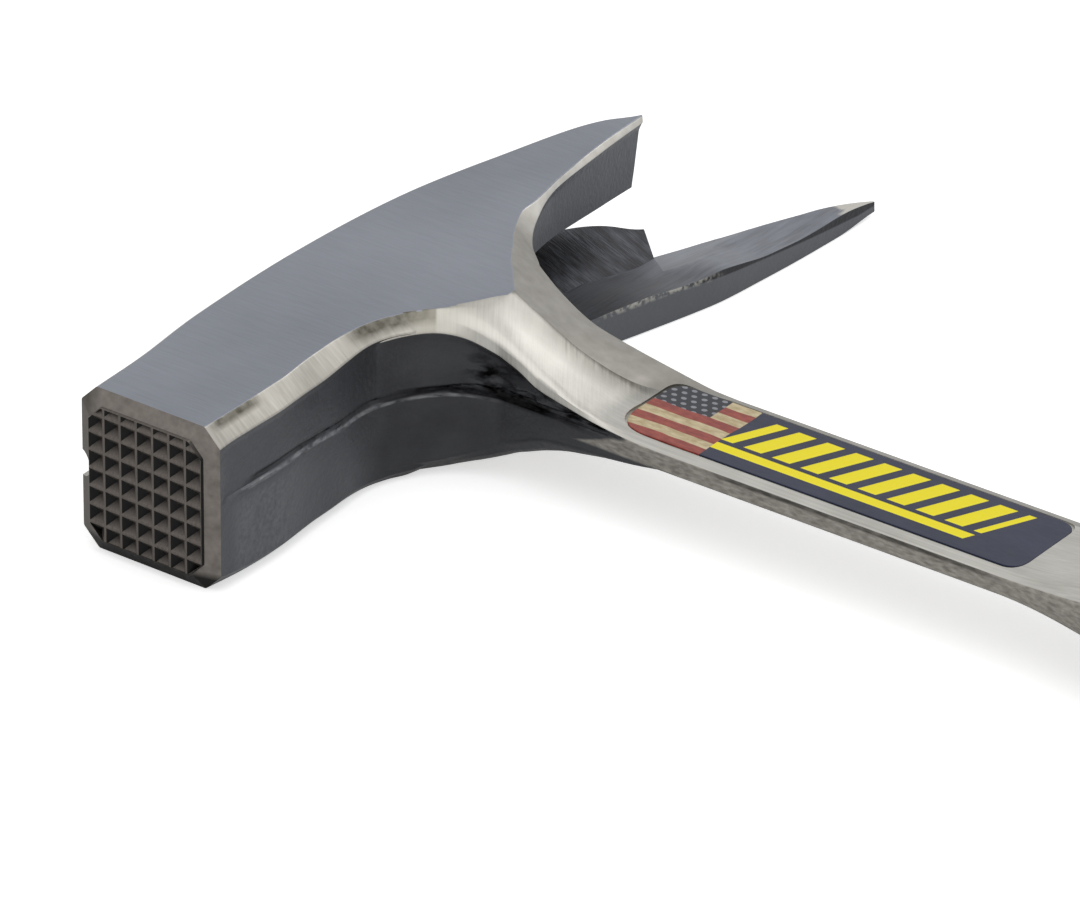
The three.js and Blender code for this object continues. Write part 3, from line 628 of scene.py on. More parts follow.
def milling_cuts():
    """Rows of square pits in the field. Each is a pyramid that starts outside the field, with its point
    inwards."""
    half = (PIT_PITCH - PIT_LAND) / 2 * (1 + SEAT_GAP / PIT_DEPTH)
    mouth = -SEAT_GAP - RIM_RISE
    square = [(-half, mouth, -half), (half, mouth, -half), (half, mouth, half), (-half, mouth, half)]
    pit = np.array([*square, (0, PIT_DEPTH - RIM_RISE, 0)])
    columns = (np.arange(PIT_COLUMNS) - (PIT_COLUMNS - 1) / 2) * PIT_PITCH
    rows = (np.arange(PIT_ROWS) - (PIT_ROWS - 1) / 2) * PIT_PITCH + PIT_ROW_SHIFT
    x, z = np.meshgrid(columns, rows, indexing="ij")
    centres = np.stack([x.ravel(), np.zeros(x.size), z.ravel()], axis=-1)
    points = (centres[:, None] + pit).reshape(-1, 3)
    sides = [(0, 1, 2, 3), (0, 1, 4), (1, 2, 4), (2, 3, 4), (3, 0, 4)]
    firsts = len(pit) * np.arange(len(centres))
    faces = [[int(first) + corner for corner in side] for first in firsts for side in sides]
    pits = mesh_of(points, faces, np.full(len(faces), MILLED_FACE))
    ends = [face_outline(RIM_WIDTH, y) for y in (mouth, PIT_DEPTH)]
    field = skin(np.stack(ends), MILLED_FACE)
    return combined("INTERSECT", pits, field)


def spike_tops():
    """Space over each of the two facets along the spike. The throat-side one follows the listed heights
    and rises towards the throat. The crown-side one is a steeper plane. Both waver as a hand-held
    grinding does."""
    x = np.arange(-FACE_WIDTH, FACE_WIDTH, SPIKE_GRID_STEP)
    first, last = SPIKE_TOP_SHARES[0][0], SPIKE_TOP_SHARES[-1][0]
    y = np.linspace(first, last, HEAD_SECTIONS // 2) * SPIKE_REACH
    grid_x, grid_y = np.meshgrid(x, y, indexing="ij")
    flat = np.stack([grid_x, grid_y, np.zeros_like(grid_x)], axis=-1)
    wave = FACET_WAVE * (random_field(flat * FACET_STRETCH, FACET_CELL, FACET_SEED) - 1 / 2)
    throat_side = (share_at(SPIKE_TOP_SHARES, grid_y / SPIKE_REACH) * HALF_HEAD
                   + SPIKE_TOP_SLOPE_SHARE * (grid_x - SPIKE_TOP_PIVOT))
    crown_side = (CROWN_FACET_HEIGHT - HALF_HEAD
                  + CROWN_FACET_SLOPE_SHARE * (grid_x - crown_at(CROWN_FACET_REACH / SPIKE_REACH))
                  - CROWN_FACET_FALL_SHARE * (grid_y - CROWN_FACET_REACH))
    top = HEAD_THICKNESS + OVERRUN
    return [space_over(x, y, heights + wave, top, SPIKE_FACET) for heights in (throat_side, crown_side)]


def slanted_block(x, starts, end, z, finish):
    """Block over x and z whose near end lies at the given y for each of its four (x, z) corners."""
    ring = [(x[0], z[0]), (x[1], z[0]), (x[1], z[1]), (x[0], z[1])]
    near = [(a, start, b) for (a, b), start in zip(ring, starts)]
    far = [(a, end, b) for a, b in ring]
    return skin(np.array([near, far], float), finish)


def past_lower_jaw():
    """Space past the skewed end of the lower jaw."""
    x = np.array([-FACE_WIDTH, FACE_WIDTH])
    near = LOWER_JAW_REACH - LOWER_JAW_SKEW_SHARE * (x - crown_at(LOWER_JAW_REACH / SPIKE_REACH))
    starts = [near[0], near[1], near[1], near[0]]
    return slanted_block(x, starts, SPIKE_REACH + OVERRUN, (-HEAD_THICKNESS, HEAD_THICKNESS), SPIKE_FACET)


def past_upper_jaw():
    """Space past the leaning end of the upper jaw, above the slot's vertex."""
    x = (-FACE_WIDTH, FACE_WIDTH)
    z = np.array([-SLOT_MOUTH_DROP, HALF_HEAD + OVERRUN])
    near = JAW_REACH + UPPER_JAW_LEAN_SHARE * (z - HALF_HEAD)
    starts = [near[0], near[0], near[1], near[1]]
    return slanted_block(x, starts, SPIKE_REACH + OVERRUN, z, SLOT_FLANK)


def slot_cut():
    """V between the jaws, from its closed end to outside their ends."""
    reach = FACE_WIDTH + OVERRUN

    def triangle(y, throat_y, out, drop):
        return [
            (-out, y, -drop),
            (reach, throat_y, -drop - LOWER_FLANK_SHARE * (reach + out)),
            (reach, throat_y, -drop + UPPER_FLANK_SHARE * (reach + out)),
        ]

    past = 1 + (SPIKE_REACH - JAW_REACH) / (JAW_REACH - SLOT_ROOT)
    out = SLOT_ROOT_OUT + past * (SLOT_MOUTH_OUT - SLOT_ROOT_OUT)
    drop = SLOT_ROOT_DROP + past * (SLOT_MOUTH_DROP - SLOT_ROOT_DROP)
    throat_root = SLOT_ROOT - SLOT_RAKE_SHARE * (reach + SLOT_ROOT_OUT)
    root = triangle(SLOT_ROOT, throat_root, SLOT_ROOT_OUT, SLOT_ROOT_DROP)
    mouth = triangle(SPIKE_REACH, SPIKE_REACH, out, drop)
    return skin(np.array([root, mouth], float), [SLOT_BED, SLOT_BED, SLOT_FLANK], SLOT_BED)


def nail_groove():
    """Round-ended cut along the crown, behind the face."""
    rise = crown_at(NAIL_GROOVE_LENGTH / SPIKE_REACH) - crown_at(0)
    length = math.hypot(rise, NAIL_GROOVE_LENGTH)
    turn = np.linspace(0, DOME_SHARE, DOME_POINTS) * np.pi / 2
    along = np.concatenate([[-length], length + NAIL_GROOVE_RADIUS * np.sin(turn)])
    radii = np.concatenate([[NAIL_GROOVE_RADIUS], NAIL_GROOVE_RADIUS * np.cos(turn)])
    return turned(along, radii, (crown_at(0), 0, 0), (rise, NAIL_GROOVE_LENGTH, 0), GROUND_BEVEL)


def magnet_seat():
    return crown_at(MAGNET_REACH / SPIKE_REACH) + NAIL_GROOVE_RADIUS


def rod(radius, start, length, y, finish):
    """Rod along the handle's direction."""
    return turned([0, length], [radius, radius], (start, y, 0), (1, 0, 0), finish)


def down_handle(x, rings):
    """Rings round the handle at distances down it, given as distances from the handle's middle and
    heights."""
    along = np.broadcast_to(x[:, None, None], (*rings.shape[:2], 1))
    return np.concatenate([along, rings + (SHANK_CENTRE, 0)], axis=-1)


def handle_rings(x, upper, lower):
    """Rings round the handle from the upper and the lower half of each section."""
    return down_handle(x, np.concatenate([upper, lower[:, -2:0:-1] * (1, -1)], axis=1))


SHANK_PARTS = (40, 6, 6, 6, 4, 14)
SHANK_ROUNDINGS = (EDGE_ROUNDING, BROW_ROUNDING, RIDGE_ROUNDING, EDGE_ROUNDING, EDGE_ROUNDING)
SHANK_FINISHES = np.array([FORGED_SKIN, GROUND_SHANK, GROUND_SHANK, GROUND_SHANK, SATIN_RIM, FORGED_SKIN])


def shank_path(corners):
    """Upper half of the shank's sections, given by five corners each: up its narrow side, over the rim,
    across the two halves of the flat and back down."""
    foot = corners[:, [0, -1]] * (1, 0)
    path = np.concatenate([foot[:, :1], corners, foot[:, 1:]], axis=1)
    return rounded_path(path, SHANK_PARTS, SHANK_ROUNDINGS)


def root_half(place, edge_rise_shares, rim_rise_shares):
    """Half sections of the root at places down it: each corner follows its own two listed curves."""
    corners = []
    for side_shares, rise_shares, level in (
            (FACE_EDGE_SHARES, edge_rise_shares, EDGE_LEVEL),
            (FACE_FLAT_SHARES, rim_rise_shares, FLAT_LEVEL),
            (RIDGE_SHARES, FLAT_RISE_SHARES, FLAT_LEVEL),
            (CLAW_FLAT_SHARES, FLAT_RISE_SHARES, FLAT_LEVEL),
            (CLAW_EDGE_SHARES, CLAW_RISE_SHARES, EDGE_LEVEL)):
        side = share_at(side_shares, place) * HALF_SHANK
        rise = level + np.minimum(share_at(rise_shares, place), 1) * (HALF_HEAD - level)
        corners.append(np.stack([side, rise], axis=-1))
    return shank_path(np.stack(corners, axis=1))


def shank_root():
    """The shank as it runs down from the cheek. Its narrow sides carry the wear of the forged skin, which
    fades out down the handle."""
    place = np.linspace(0, 1, ROOT_SECTIONS + 1)
    upper, lines, _ = root_half(place, FACE_RISE_SHARES, FACE_FLAT_RISE_SHARES)
    lower, _, _ = root_half(place, LOWER_FACE_RISE_SHARES, LOWER_FACE_FLAT_RISE_SHARES)
    rings = handle_rings(SHANK_ROOT + place * (SHANK_FLAT - SHANK_ROOT), upper, lower)
    last = len(SHANK_PARTS) - 1
    masks = ease(lines, 1, 1 - WEAR_BLEND), ease(lines, last, last + WEAR_BLEND)
    on_face, on_claw = (np.concatenate([mask, mask[-2:0:-1]]) for mask in masks)
    fade = ease(rings[..., 0], SKIN_END, SKIN_END - SKIN_END_BLEND)
    rings[..., 1] += (on_face - on_claw) * forged_wear(rings, on_face) * fade
    return rings


def oval(angle, width, depth):
    """Points at the angles round an oval, or round one oval for each width and depth."""
    width, depth = np.asarray(width, float)[..., None], np.asarray(depth, float)[..., None]
    return np.stack([-np.cos(angle) * width / 2, np.sin(angle) * depth / 2], axis=-1)


def shank_flare():
    """The flat section turns into the collar's oval: each point moves along a straight line to its place
    on the oval, with level ends."""
    place = np.linspace(0, 1, FLARE_SECTIONS + 1)
    flat_side = HALF_SHANK - SHANK_RIM
    row = [
        (-HALF_SHANK, EDGE_LEVEL), (-flat_side, FLAT_LEVEL), (0, FLAT_LEVEL), (flat_side, FLAT_LEVEL),
        (HALF_SHANK, EDGE_LEVEL),
    ]
    path, lines, _ = shank_path(np.array([row], float))
    angle = lines * np.pi / len(SHANK_PARTS)
    blend = ease(place, 0, 1)[:, None, None]
    flared = path + blend * (oval(angle, COLLAR_WIDTH, COLLAR_THICKNESS) - path)
    inset, short = rounding(COLLAR_ROUNDING, SHOULDER_POINTS)
    shoulder = oval(angle, COLLAR_WIDTH - 2 * inset, COLLAR_THICKNESS - 2 * inset)
    x = np.concatenate([FLARE_START + place * FLARE_LENGTH, COLLAR_END - short])
    halves = np.concatenate([flared, shoulder])
    return handle_rings(x, halves, halves)


def shank():
    """Root and flare in one skin. Where the root still lies in the plane of the cheek it is lacquered
    like it."""
    _, _, strips = shank_path(np.zeros((1, len(SHANK_PARTS) - 1, 2)))
    upper = SHANK_FINISHES[strips]
    rings = np.concatenate([shank_root(), shank_flare()])
    # the lower half's face-side rim takes the dark forge scale as painted shade, in place of ground steel
    lower = np.where(strips == 1, FORGED_SKIN, upper)
    finishes = np.concatenate([upper, lower[::-1]])
    heights = np.abs(rings[..., 2])
    level = np.minimum(heights[:-1], heights[1:])
    in_cheek = np.minimum(level, np.roll(level, -1, axis=1)) > HALF_HEAD - FILM_EDGE
    return skin(rings, np.where(in_cheek, LACQUERED_CHEEK, finishes), GROUND_SHANK)


def film_outline(clearance):
    """Outline of the printed film: a long box whose corners are parabolas, the one by the throat
    rounder."""
    start, end = FILM_START - clearance, FILM_START + FILM_LENGTH + clearance
    half = FILM_WIDTH / 2 + clearance
    turn = np.linspace(0, 1, FILM_CORNER_POINTS)[:, None]
    corners = np.array([(start, -half), (end, -half), (end, half), (start, half)])
    before, after = np.roll(corners, 1, axis=0), np.roll(corners, -1, axis=0)
    sizes = (FILM_SWEEP, FILM_CORNER, FILM_CORNER, FILM_CORNER)
    points = [parabola(turn, a + size * np.sign(b - a), a, a + size * np.sign(c - a))
              for a, b, c, size in zip(corners, before, after, sizes)]
    return np.concatenate(points) + (0, SHANK_CENTRE)


def film_rings(insets, heights):
    """Rings of the film's outline, each drawn in from its recess by an inset and lifted to a height."""
    return np.stack([
        np.insert(film_outline(-inset), 2, height, axis=1) for inset, height in zip(insets, heights)])


def rivet_places():
    return [SHANK_CENTRE + side * RIVET_SPACING / 2 for side in (-1, 1)]


def forged_body():
    places = np.arange(HEAD_SECTIONS + 1) / HEAD_SECTIONS
    jaw_places = places[:math.ceil(HEAD_SECTIONS * JAW_REACH / SPIKE_REACH) + 2]
    tang = block(
        (COLLAR_END - OVERRUN, SHANK_CENTRE - TANG_WIDTH / 2, -TANG_THICKNESS / 2),
        (STACK_END - SEAT_GAP, SHANK_CENTRE + TANG_WIDTH / 2, TANG_THICKNESS / 2), GROUND_SHANK)
    upper = head_half(jaw_places, UPPER_HALF, GROUND_BEVEL, SATIN_RIM)
    # the lower half's throat bevel takes the dark forge scale as painted shade, in place of ground steel
    lower = head_half(places, LOWER_HALF, FORGED_SKIN, FORGED_SKIN)
    body = combined("UNION", upper, lower, striking_end(), shank(), tang)
    over_spike, over_crown_facet = spike_tops()
    slot = combined("INTERSECT", slot_cut(), over_spike.copy())
    over_facets = combined("UNION", over_spike, over_crown_facet)
    past_jaw = combined("INTERSECT", past_lower_jaw(), over_facets)
    recess_floor = FLAT_LEVEL - FILM_RECESS
    recess = skin(film_rings((-SEAT_GAP, -SEAT_GAP), (recess_floor, HALF_HEAD)), GROUND_SHANK)
    pocket = rod(
        MAGNET_DIAMETER / 2 + SEAT_GAP, magnet_seat() - OVERRUN, MAGNET_LENGTH + OVERRUN, MAGNET_REACH,
        GROUND_BEVEL)
    hole = RIVET_DIAMETER / 2 + SEAT_GAP
    hole_start = STACK_END - RIVET_BITE - SEAT_GAP
    holes = [rod(hole, hole_start, CAP_THICKNESS + RIVET_BITE, y, GROUND_SHANK) for y in rivet_places()]
    return combined(
        "DIFFERENCE", body, slot, past_jaw, past_upper_jaw(), milling_cuts(), nail_groove(), pocket, recess,
        *holes)


TOOL_PLACE = tool_place()
BUTT_END = OVERALL_LENGTH + np.min(crown_at(np.linspace(0, 1, HEAD_SECTIONS + 1)))
STACK_END = BUTT_END - CAP_THICKNESS
GRIP_LENGTH = BUTT_END - COLLAR_END


# Grip, label and fastenings

def washer(start, end, drop):
    """Oval ring round the tang between two places down the handle. Its section is carried round the oval:
    out along one face, over a rounded edge, along the rim and back, and in along the slot for the
    tang."""
    angle = np.linspace(0, 2 * np.pi, OVAL_POINTS, endpoint=False)
    edge, _ = rounding(WASHER_EDGE, CORNER_TURNS + 1)
    inset = drop + np.concatenate([edge[::-1], edge])
    x = np.concatenate([start + edge, end - edge[::-1]])
    place = (x - COLLAR_END) / GRIP_LENGTH
    width = share_at(GRIP_WIDTH_SHARES, place) * BUTT_WIDTH - 2 * inset
    depth = share_at(GRIP_DEPTH_SHARES, place) * HEAD_THICKNESS - 2 * inset
    outer = oval(angle, width, depth)
    half_width, half_depth = TANG_WIDTH / 2 + SEAT_GAP, TANG_THICKNESS / 2 + SEAT_GAP
    reach = 1 / np.maximum(np.abs(np.cos(angle)) / half_width, np.abs(np.sin(angle)) / half_depth)
    hole = reach[:, None] * oval(angle, 2, 2)
    rows = np.concatenate([[hole], outer, [hole]])
    along = np.concatenate([[start], x, [end]])
    points = down_handle(along, rows)
    return mesh_of(points.reshape(-1, 3), quads_between(len(rows), OVAL_POINTS, closed=True))


def butt_cap():
    """Cap over the end of the stack, with an edge rounded by a quarter circle and two counterbored
    holes."""
    angle = np.linspace(0, 2 * np.pi, OVAL_POINTS, endpoint=False)
    inset, short = rounding(CAP_ROUNDING, 4 * CORNER_TURNS)
    x = np.concatenate([[STACK_END], BUTT_END - short])
    place = (STACK_END - COLLAR_END) / GRIP_LENGTH
    first = oval(angle, share_at(GRIP_WIDTH_SHARES, place) * BUTT_WIDTH,
                 share_at(GRIP_DEPTH_SHARES, place) * HEAD_THICKNESS)
    rest = oval(angle, BUTT_WIDTH - 2 * inset, HEAD_THICKNESS - 2 * inset)
    cap = skin(down_handle(x, np.stack([first, *rest])), 0)
    holes = []
    seat = BUTT_END - RIVET_SINK - RIVET_HEAD_HEIGHT
    for y in rivet_places():
        through = CAP_THICKNESS + 2 * OVERRUN
        holes.append(rod(RIVET_DIAMETER / 2 + SEAT_GAP, STACK_END - OVERRUN, through, y, 0))
        holes.append(rod(RIVET_HEAD / 2 + SEAT_GAP, seat, OVERRUN, y, 0))
    return combined("DIFFERENCE", cap, *holes)


def rivet(y):
    """Rivet whose rounded head sits on the floor of its bore."""
    shaft = CAP_THICKNESS + RIVET_BITE - RIVET_HEAD_HEIGHT - RIVET_SINK
    inset, short = rounding(RIVET_CROWN, RIVET_POINTS, RIVET_SHARE)
    head = RIVET_HEAD / 2
    along = [0, shaft, shaft, *(shaft + RIVET_HEAD_HEIGHT - short)]
    radii = [RIVET_DIAMETER / 2, RIVET_DIAMETER / 2, head, *(head - inset)]
    return turned(along, radii, (STACK_END - RIVET_BITE, y, 0), (1, 0, 0), 0)


def film():
    """The printed film: its outline carried inwards and up over a soft edge."""
    floor = FLAT_LEVEL - FILM_RECESS
    inset, short = rounding(FILM_EDGE, CORNER_TURNS + 1)
    insets = np.append(0, inset)
    heights = np.append(floor, floor + FILM_THICKNESS - short)
    return skin(film_rings(insets, heights), 0)


def magnet():
    return rod(MAGNET_DIAMETER / 2, magnet_seat(), MAGNET_LENGTH, MAGNET_REACH, 0)


# Materials

NOISE_MIDDLE = 0.5              # a noise texture's middle value, and how far most of its values lie from it
NOISE_SPREAD = 0.25


def linear(hex_colour):
    """Linear colour of an sRGB hex value."""
    values = np.array([int(hex_colour[place:place + 2], 16) / 255 for place in (0, 2, 4)])
    curve = np.where(values <= 0.04045, values / 12.92, ((values + 0.055) / 1.055) ** 2.4)
    return [*curve.tolist(), 1]


def add(tree, kind, inputs, output=0, **settings):
    """Adds a node with its settings, links or sets its inputs, and returns one of its outputs."""
    node = tree.nodes.new("ShaderNode" + kind)
    for name, value in settings.items():
        setattr(node, name, value)
    for name, value in inputs.items():
        if isinstance(value, bpy.types.NodeSocket):
            tree.links.new(value, node.inputs[name])
        else:
            node.inputs[name].default_value = value
    return node.outputs[output]


def shader_of(name, constants):
    """Material with an empty tree, and its Principled shader with its constants."""
    material = bpy.data.materials.new(name)
    material.use_nodes = True
    tree = material.node_tree
    tree.nodes.clear()
    closure = add(tree, "BsdfPrincipled", constants)
    tree.links.new(closure, tree.nodes.new("ShaderNodeOutputMaterial").inputs["Surface"])
    return material, closure.node


def pattern(tree, place, sizes, detail=3, contrast=1, turn=0):
    """Random pattern from 0 to 1 whose marks have the given sizes in millimetres along x, y and z, or one
    size for all three, turned by an angle about z."""
    scales = (np.broadcast_to(sizes, 3) * MM).tolist()
    scaled = add(tree, "Mapping", {"Vector": place, "Scale": scales, "Rotation": (0, 0, turn)},
                 vector_type="TEXTURE")
    noise = add(tree, "TexNoise", {"Vector": scaled, "Scale": 1, "Detail": detail})
    low, high = (NOISE_MIDDLE + side * NOISE_SPREAD / contrast for side in (-1, 1))
    return add(tree, "MapRange", {"Value": noise, "From Min": low, "From Max": high})


def value_of(tree, fields, part):
    """Value of a part of a sum: a number, a field's name, a ramp, or some work and the parts that it is
    done with. A ramp is a field, its values where the ramp starts and ends, and what the ramp goes from
    and to where that isn't 0 and 1. MIX goes between two parts by a share, ALL is the product of its
    parts, FACING is how far the surface faces a way, OWN is the mesh's own attribute, and the rest are
    sums."""
    if not isinstance(part, tuple):
        return fields.get(part, part)
    work, *parts = part
    if work in fields:
        return add(tree, "MapRange", dict(enumerate([fields[work], *parts])))
    if work == "FACING":
        normal = add(tree, "TexCoord", {}, "Normal")
        return add(tree, "VectorMath", {0: normal, 1: parts}, "Value", operation="DOT_PRODUCT")
    if work == "OWN":
        return add(tree, "Attribute", {}, "Fac", attribute_name=parts[0])
    values = [value_of(tree, fields, each) for each in parts]
    if work == "MIX":
        return add(tree, "Mix", dict(zip((0, 2, 3), values)))
    if work != "ALL":
        return add(tree, "Math", dict(enumerate(values)), operation=work)
    total = values[0]
    for value in values[1:]:
        total = add(tree, "Math", {0: total, 1: value}, operation="MULTIPLY")
    return total


def coloured(tree, fields, tint, marks):
    """Colour of a tint with marks over it, each a tint and the parts whose product is its share. A tint
    is an sRGB hex value, or a darker and a lighter one and the field that goes between them."""
    total = None
    for ends, *parts in ((tint,), *marks):
        if isinstance(ends, tuple):
            dark, light, field = ends
            sockets = {0: fields[field], 6: linear(dark), 7: linear(light)}
            colour = add(tree, "Mix", sockets, 2, data_type="RGBA")
        else:
            colour = linear(ends)
        if parts:
            share = value_of(tree, fields, ("ALL", *parts))
            colour = add(tree, "Mix", {0: share, 6: total, 7: colour}, 2, data_type="RGBA")
        total = colour
    return total


def surface(name, constants, patterns, tint, roughness, relief, marks=(), sums=(), metallic=None):
    """Material of a surface. Its fields are the tool's own x, y and z in millimetres, random patterns,
    and sums of these. The colour is a tint with marks over it, the roughness goes between two values by a
    field, and the relief is a field and its depth in millimetres."""
    material, shader = shader_of(name, constants)
    tree = material.node_tree
    place = add(tree, "TexCoord", {}, "Object")
    local = add(tree, "VectorMath", {0: place, 1: in_frame((0, 0, 0))}, operation="SUBTRACT")
    local = add(tree, "VectorMath", {0: local, "Scale": 1 / MM}, operation="SCALE")
    fields = {axis: add(tree, "SeparateXYZ", {"Vector": local}, axis.upper()) for axis in "xyz"}
    for field, settings in patterns.items():
        fields[field] = pattern(tree, place, *settings)
    for field, part in dict(sums).items():
        fields[field] = value_of(tree, fields, part)
    height, depth = relief
    sockets = {
        "Base Color": coloured(tree, fields, tint, marks),
        "Roughness": value_of(tree, fields, ("MIX", *roughness)),
        "Normal": add(tree, "Bump", {"Height": fields[height], "Distance": depth * MM}),
    }
    if metallic:
        sockets["Metallic"] = fields[metallic]
    for socket, value in sockets.items():
        tree.links.new(value, shader.inputs[socket])
    return material


def lacquered_cheek():
    """Ground steel under a thin blue-grey lacquer: an even sheen with fine grinding lines across the
    head."""
    return surface(
        "lacquered_ground_steel", {"Metallic": 0.7},
        {"cloud": ((26, 40, 26), 2), "lines": ((5, 0.3, 5), 4)}, ("73777F", "888C95", "tone"),
        ("tone", 0.44, 0.34), ("lines", 0.006), sums={"tone": ("MIX", 0.35, "cloud", "lines")})


# Middle and half length of each place along the bevel, and how far down from the cheek it reaches
MISSED_PLACES = [(7, 6.5, 1.3), (44.5, 9.5, 2)]
MISSED_FULL_SHARE = 0.6         # of the half length, over which a place is wholly missed
MISSED_GRAIN = (1.2, 4)


def missed_marks():
    """Olive scale along the cheek, in the places on the bevel that the belt missed."""
    marks = []
    for middle, half, drop in MISSED_PLACES:
        full = half * MISSED_FULL_SHARE
        marks.append((
            "4A473E", ("y", middle - half, middle - full), ("y", middle + half, middle + full),
            ("z", HALF_HEAD - drop, HALF_HEAD - drop / 2), ("ragged", 0, 1, 0.6)))
    return marks


def ground_bevel():
    """Steel ground bright by the belt, with fine streaks across the edge."""
    return surface(
        "belt_ground_steel", {"Metallic": 1}, {"streaks": ((5, 0.6, 5), 4), "ragged": MISSED_GRAIN},
        ("94918A", "AAA7A0", "streaks"), ("streaks", 0.42, 0.34), ("streaks", 0.006), missed_marks())


def satin_rim():
    """Steel ground with a fine belt along the edge: an even, matt warm grey, brighter out on the jaw."""
    return surface(
        "satin_rim_steel", {"Metallic": 1}, {"grain": (2.5, 4)}, ("84817B", "94918B", "grain"),
        ("grain", 0.44, 0.36), ("grain", 0.006), [(("BAB7B0", "D2D0CA", "grain"), ("y", 80, 90))])


SCALE_PATTERNS = {
    "patches": ((10, 7, 6), 3),
    "pits": (0.8, 3),
    "ragged": ((2.5, 2.5, 0.6), 4, 1.5),
    "tears": ((5, 2.5, 1.6), 4, 2.5),
    "grit": (0.9, 3, 3),
    "grain": ((1.5, 0.5, 0.5), 4, 1.3),
}
SCALE_SUMS = {
    # height above the parting line, the throat side that carries its step, the fold above it and the torn
    # scale
    "above": ("SUBTRACT", "z", ("y", 20, 32, 1.5, 0.3)),
    "on_throat": ("ALL", ("y", 60, 56), ("y", 5, 9), ("x", 40, 34), ("x", 0, 5)),
    "off_step": ("ABSOLUTE", "above"),
    "folded": ("ALL", "on_throat", ("above", 0.2, 0.5), ("above", 1.8, 1.1), ("x", 12, 15, 0.45),
               ("ragged", 0, 1, 0.7)),
    "torn": ("ALL", "tears", ("x", FISSURE_START, FISSURE_FULL), ("z", 0, 1.5), ("z", 9, 6)),
    # height above the upper edge of the spike
    "over_spike": ("SUBTRACT", "z", ("y", 112, 158, -7.8, -11.4)),
    # how far down the belt is felt, sooner on the lower half and in tongues, and what it has bared
    "brushed": ("ADD", ("ADD", "x", ("z", -BARE_HEIGHT, BARE_HEIGHT, BARE_LEAD, -BARE_LEAD)),
                ("patches", 0, 1, 0, 3)),
    "bared": ("ALL", ("brushed", BARE_START, BARE_FULL), ("MAXIMUM", ("z", -1.6, -1.2), ("x", 56, 62))),
    "relief": ("MIX", "bared", "pits", "grain"),
    "metal": ("MIX", ("MAXIMUM", "folded", "torn"), ("MIX", "bared", 0.5, 0.8), 1),
}
SCALE_MARKS = [
    # painted shade, darkest round the neck, then paler on the jaws, cloudy, and rough low by the face
    ("303135", ("y", 34, 42)),
    ("5E6166", ("y", 68, 84)),
    ("5A5B5E", 0.3, "patches"),
    ("7C7E82", 0.5, "pits", ("y", 2, 5), ("y", 26, 14), ("z", 0.8, -0.5)),
    # the step, scuffed bright with a painted highlight, a painted shadow in the fold above it, and the
    # black torn scale
    ("9A9B9E", 0.6, "on_throat", "ragged", ("off_step", 0.4, 0.15), ("x", 27, 19)),
    ("050506", "folded"),
    ("070708", "torn"),
    # the spike's upper edge and its burr
    ("25262B", ("over_spike", -0.8, -0.55), ("y", 112, 120), ("x", 9, 12), ("z", -4, -5)),
    ("B0AEA6", "grit", ("over_spike", -1.1, -0.4), ("y", 96, 102), ("y", 124, 116), ("x", 6, 9),
     ("z", -4, -5)),
    # brushed steel, with a painted shadow as a dark seam along it under the rim
    (("77736D", "A39F98", "grain"), "bared"),
    ("45433F", ("z", 0.7, 1), ("x", 62, 70), ("x", 122, 112), ("ragged", 0, 1, 0.6)),
]


def forged_skin():
    """Black scale from the forge under clear lacquer: smooth and dark, with painted shade that makes it
    darkest round the neck, paler on the jaws and towards the face. The step along the parting plane is
    scuffed bright with a painted highlight, with a painted shadow as a black fold over it, and the torn
    scale by the handle is black. Further down a belt has brushed the scale off the narrow sides, first off
    their lower half, and they are a sandy brownish grey with a painted shadow as a dark seam under the rim.
    The spike's upper edge is dark past a pale burr."""
    return surface(
        "lacquered_forge_scale", {}, SCALE_PATTERNS, "4C4E53",
        ("bared", ("MIX", "pits", 0.34, 0.46), ("MIX", "grain", 0.4, 0.56)), ("relief", 0.04),
        SCALE_MARKS, SCALE_SUMS, "metal")


def face_rim():
    """Turned rim of the striking face, browned by the hardening: even grey-brown with a soft shine, and
    darkened by painted shade along its lower and its crown side."""
    return surface(
        "hardened_turned_steel", {"Metallic": 0.8}, {"turning": (1.6, 4, 1.2)},
        ("6A655F", "857F79", "turning"), ("turning", 0.36, 0.5), ("turning", 0.02),
        # painted shade along the lower and the crown side of the rim
        [("1C1B1A", ("MAXIMUM", ("z", -10.5, -12), ("x", -9, -12, 0, 0.5)))])


def milled_face():
    """Milled steel, browned by the hardening: dull on the lands, with painted shade that turns black down
    in the pits, most of all on their walls by the crown."""
    marks = [
        # painted shade: darker down into the pits, and black on the walls that face the crown and downwards
        (("544E49", "706963", "lines"), ("y", PIT_DEPTH - RIM_RISE, -RIM_RISE)),
        ("0B0A0A", ("facing", 0.25, 0.5)),
    ]
    return surface(
        "milled_hardened_steel", {"Metallic": 0.6}, {"lines": ((0.3, 0.3, 2), 3)}, "2C2826",
        ("lines", 0.38, 0.55), ("lines", 0.015), marks, {"facing": ("FACING", 1, 0, -0.35)})


def slot_flank():
    """Inner side of the upper jaw, ground once and lacquered: smooth blue-grey with faint lines."""
    return surface(
        "lacquered_jaw_steel", {"Metallic": 0.7}, {"lines": ((4, 0.4, 8), 3)},
        ("5C5F66", "6C6F76", "lines"), ("lines", 0.4, 0.5), ("lines", 0.01))


def slot_bed():
    """Steel ground with a narrow wheel between the jaws: nearly black, with thin bright lines across the
    bed."""
    return surface(
        "wheel_ground_dark_steel", {"Metallic": 0.5},
        {"lines": ((2.5, 0.3, 6), 4, 1.5), "wheel": ((6, 2, 6), 3, 1.5)},
        "202024", ("lines", 0.36, 0.5), ("lines", 0.03), [("55585F", "lines", "wheel")])


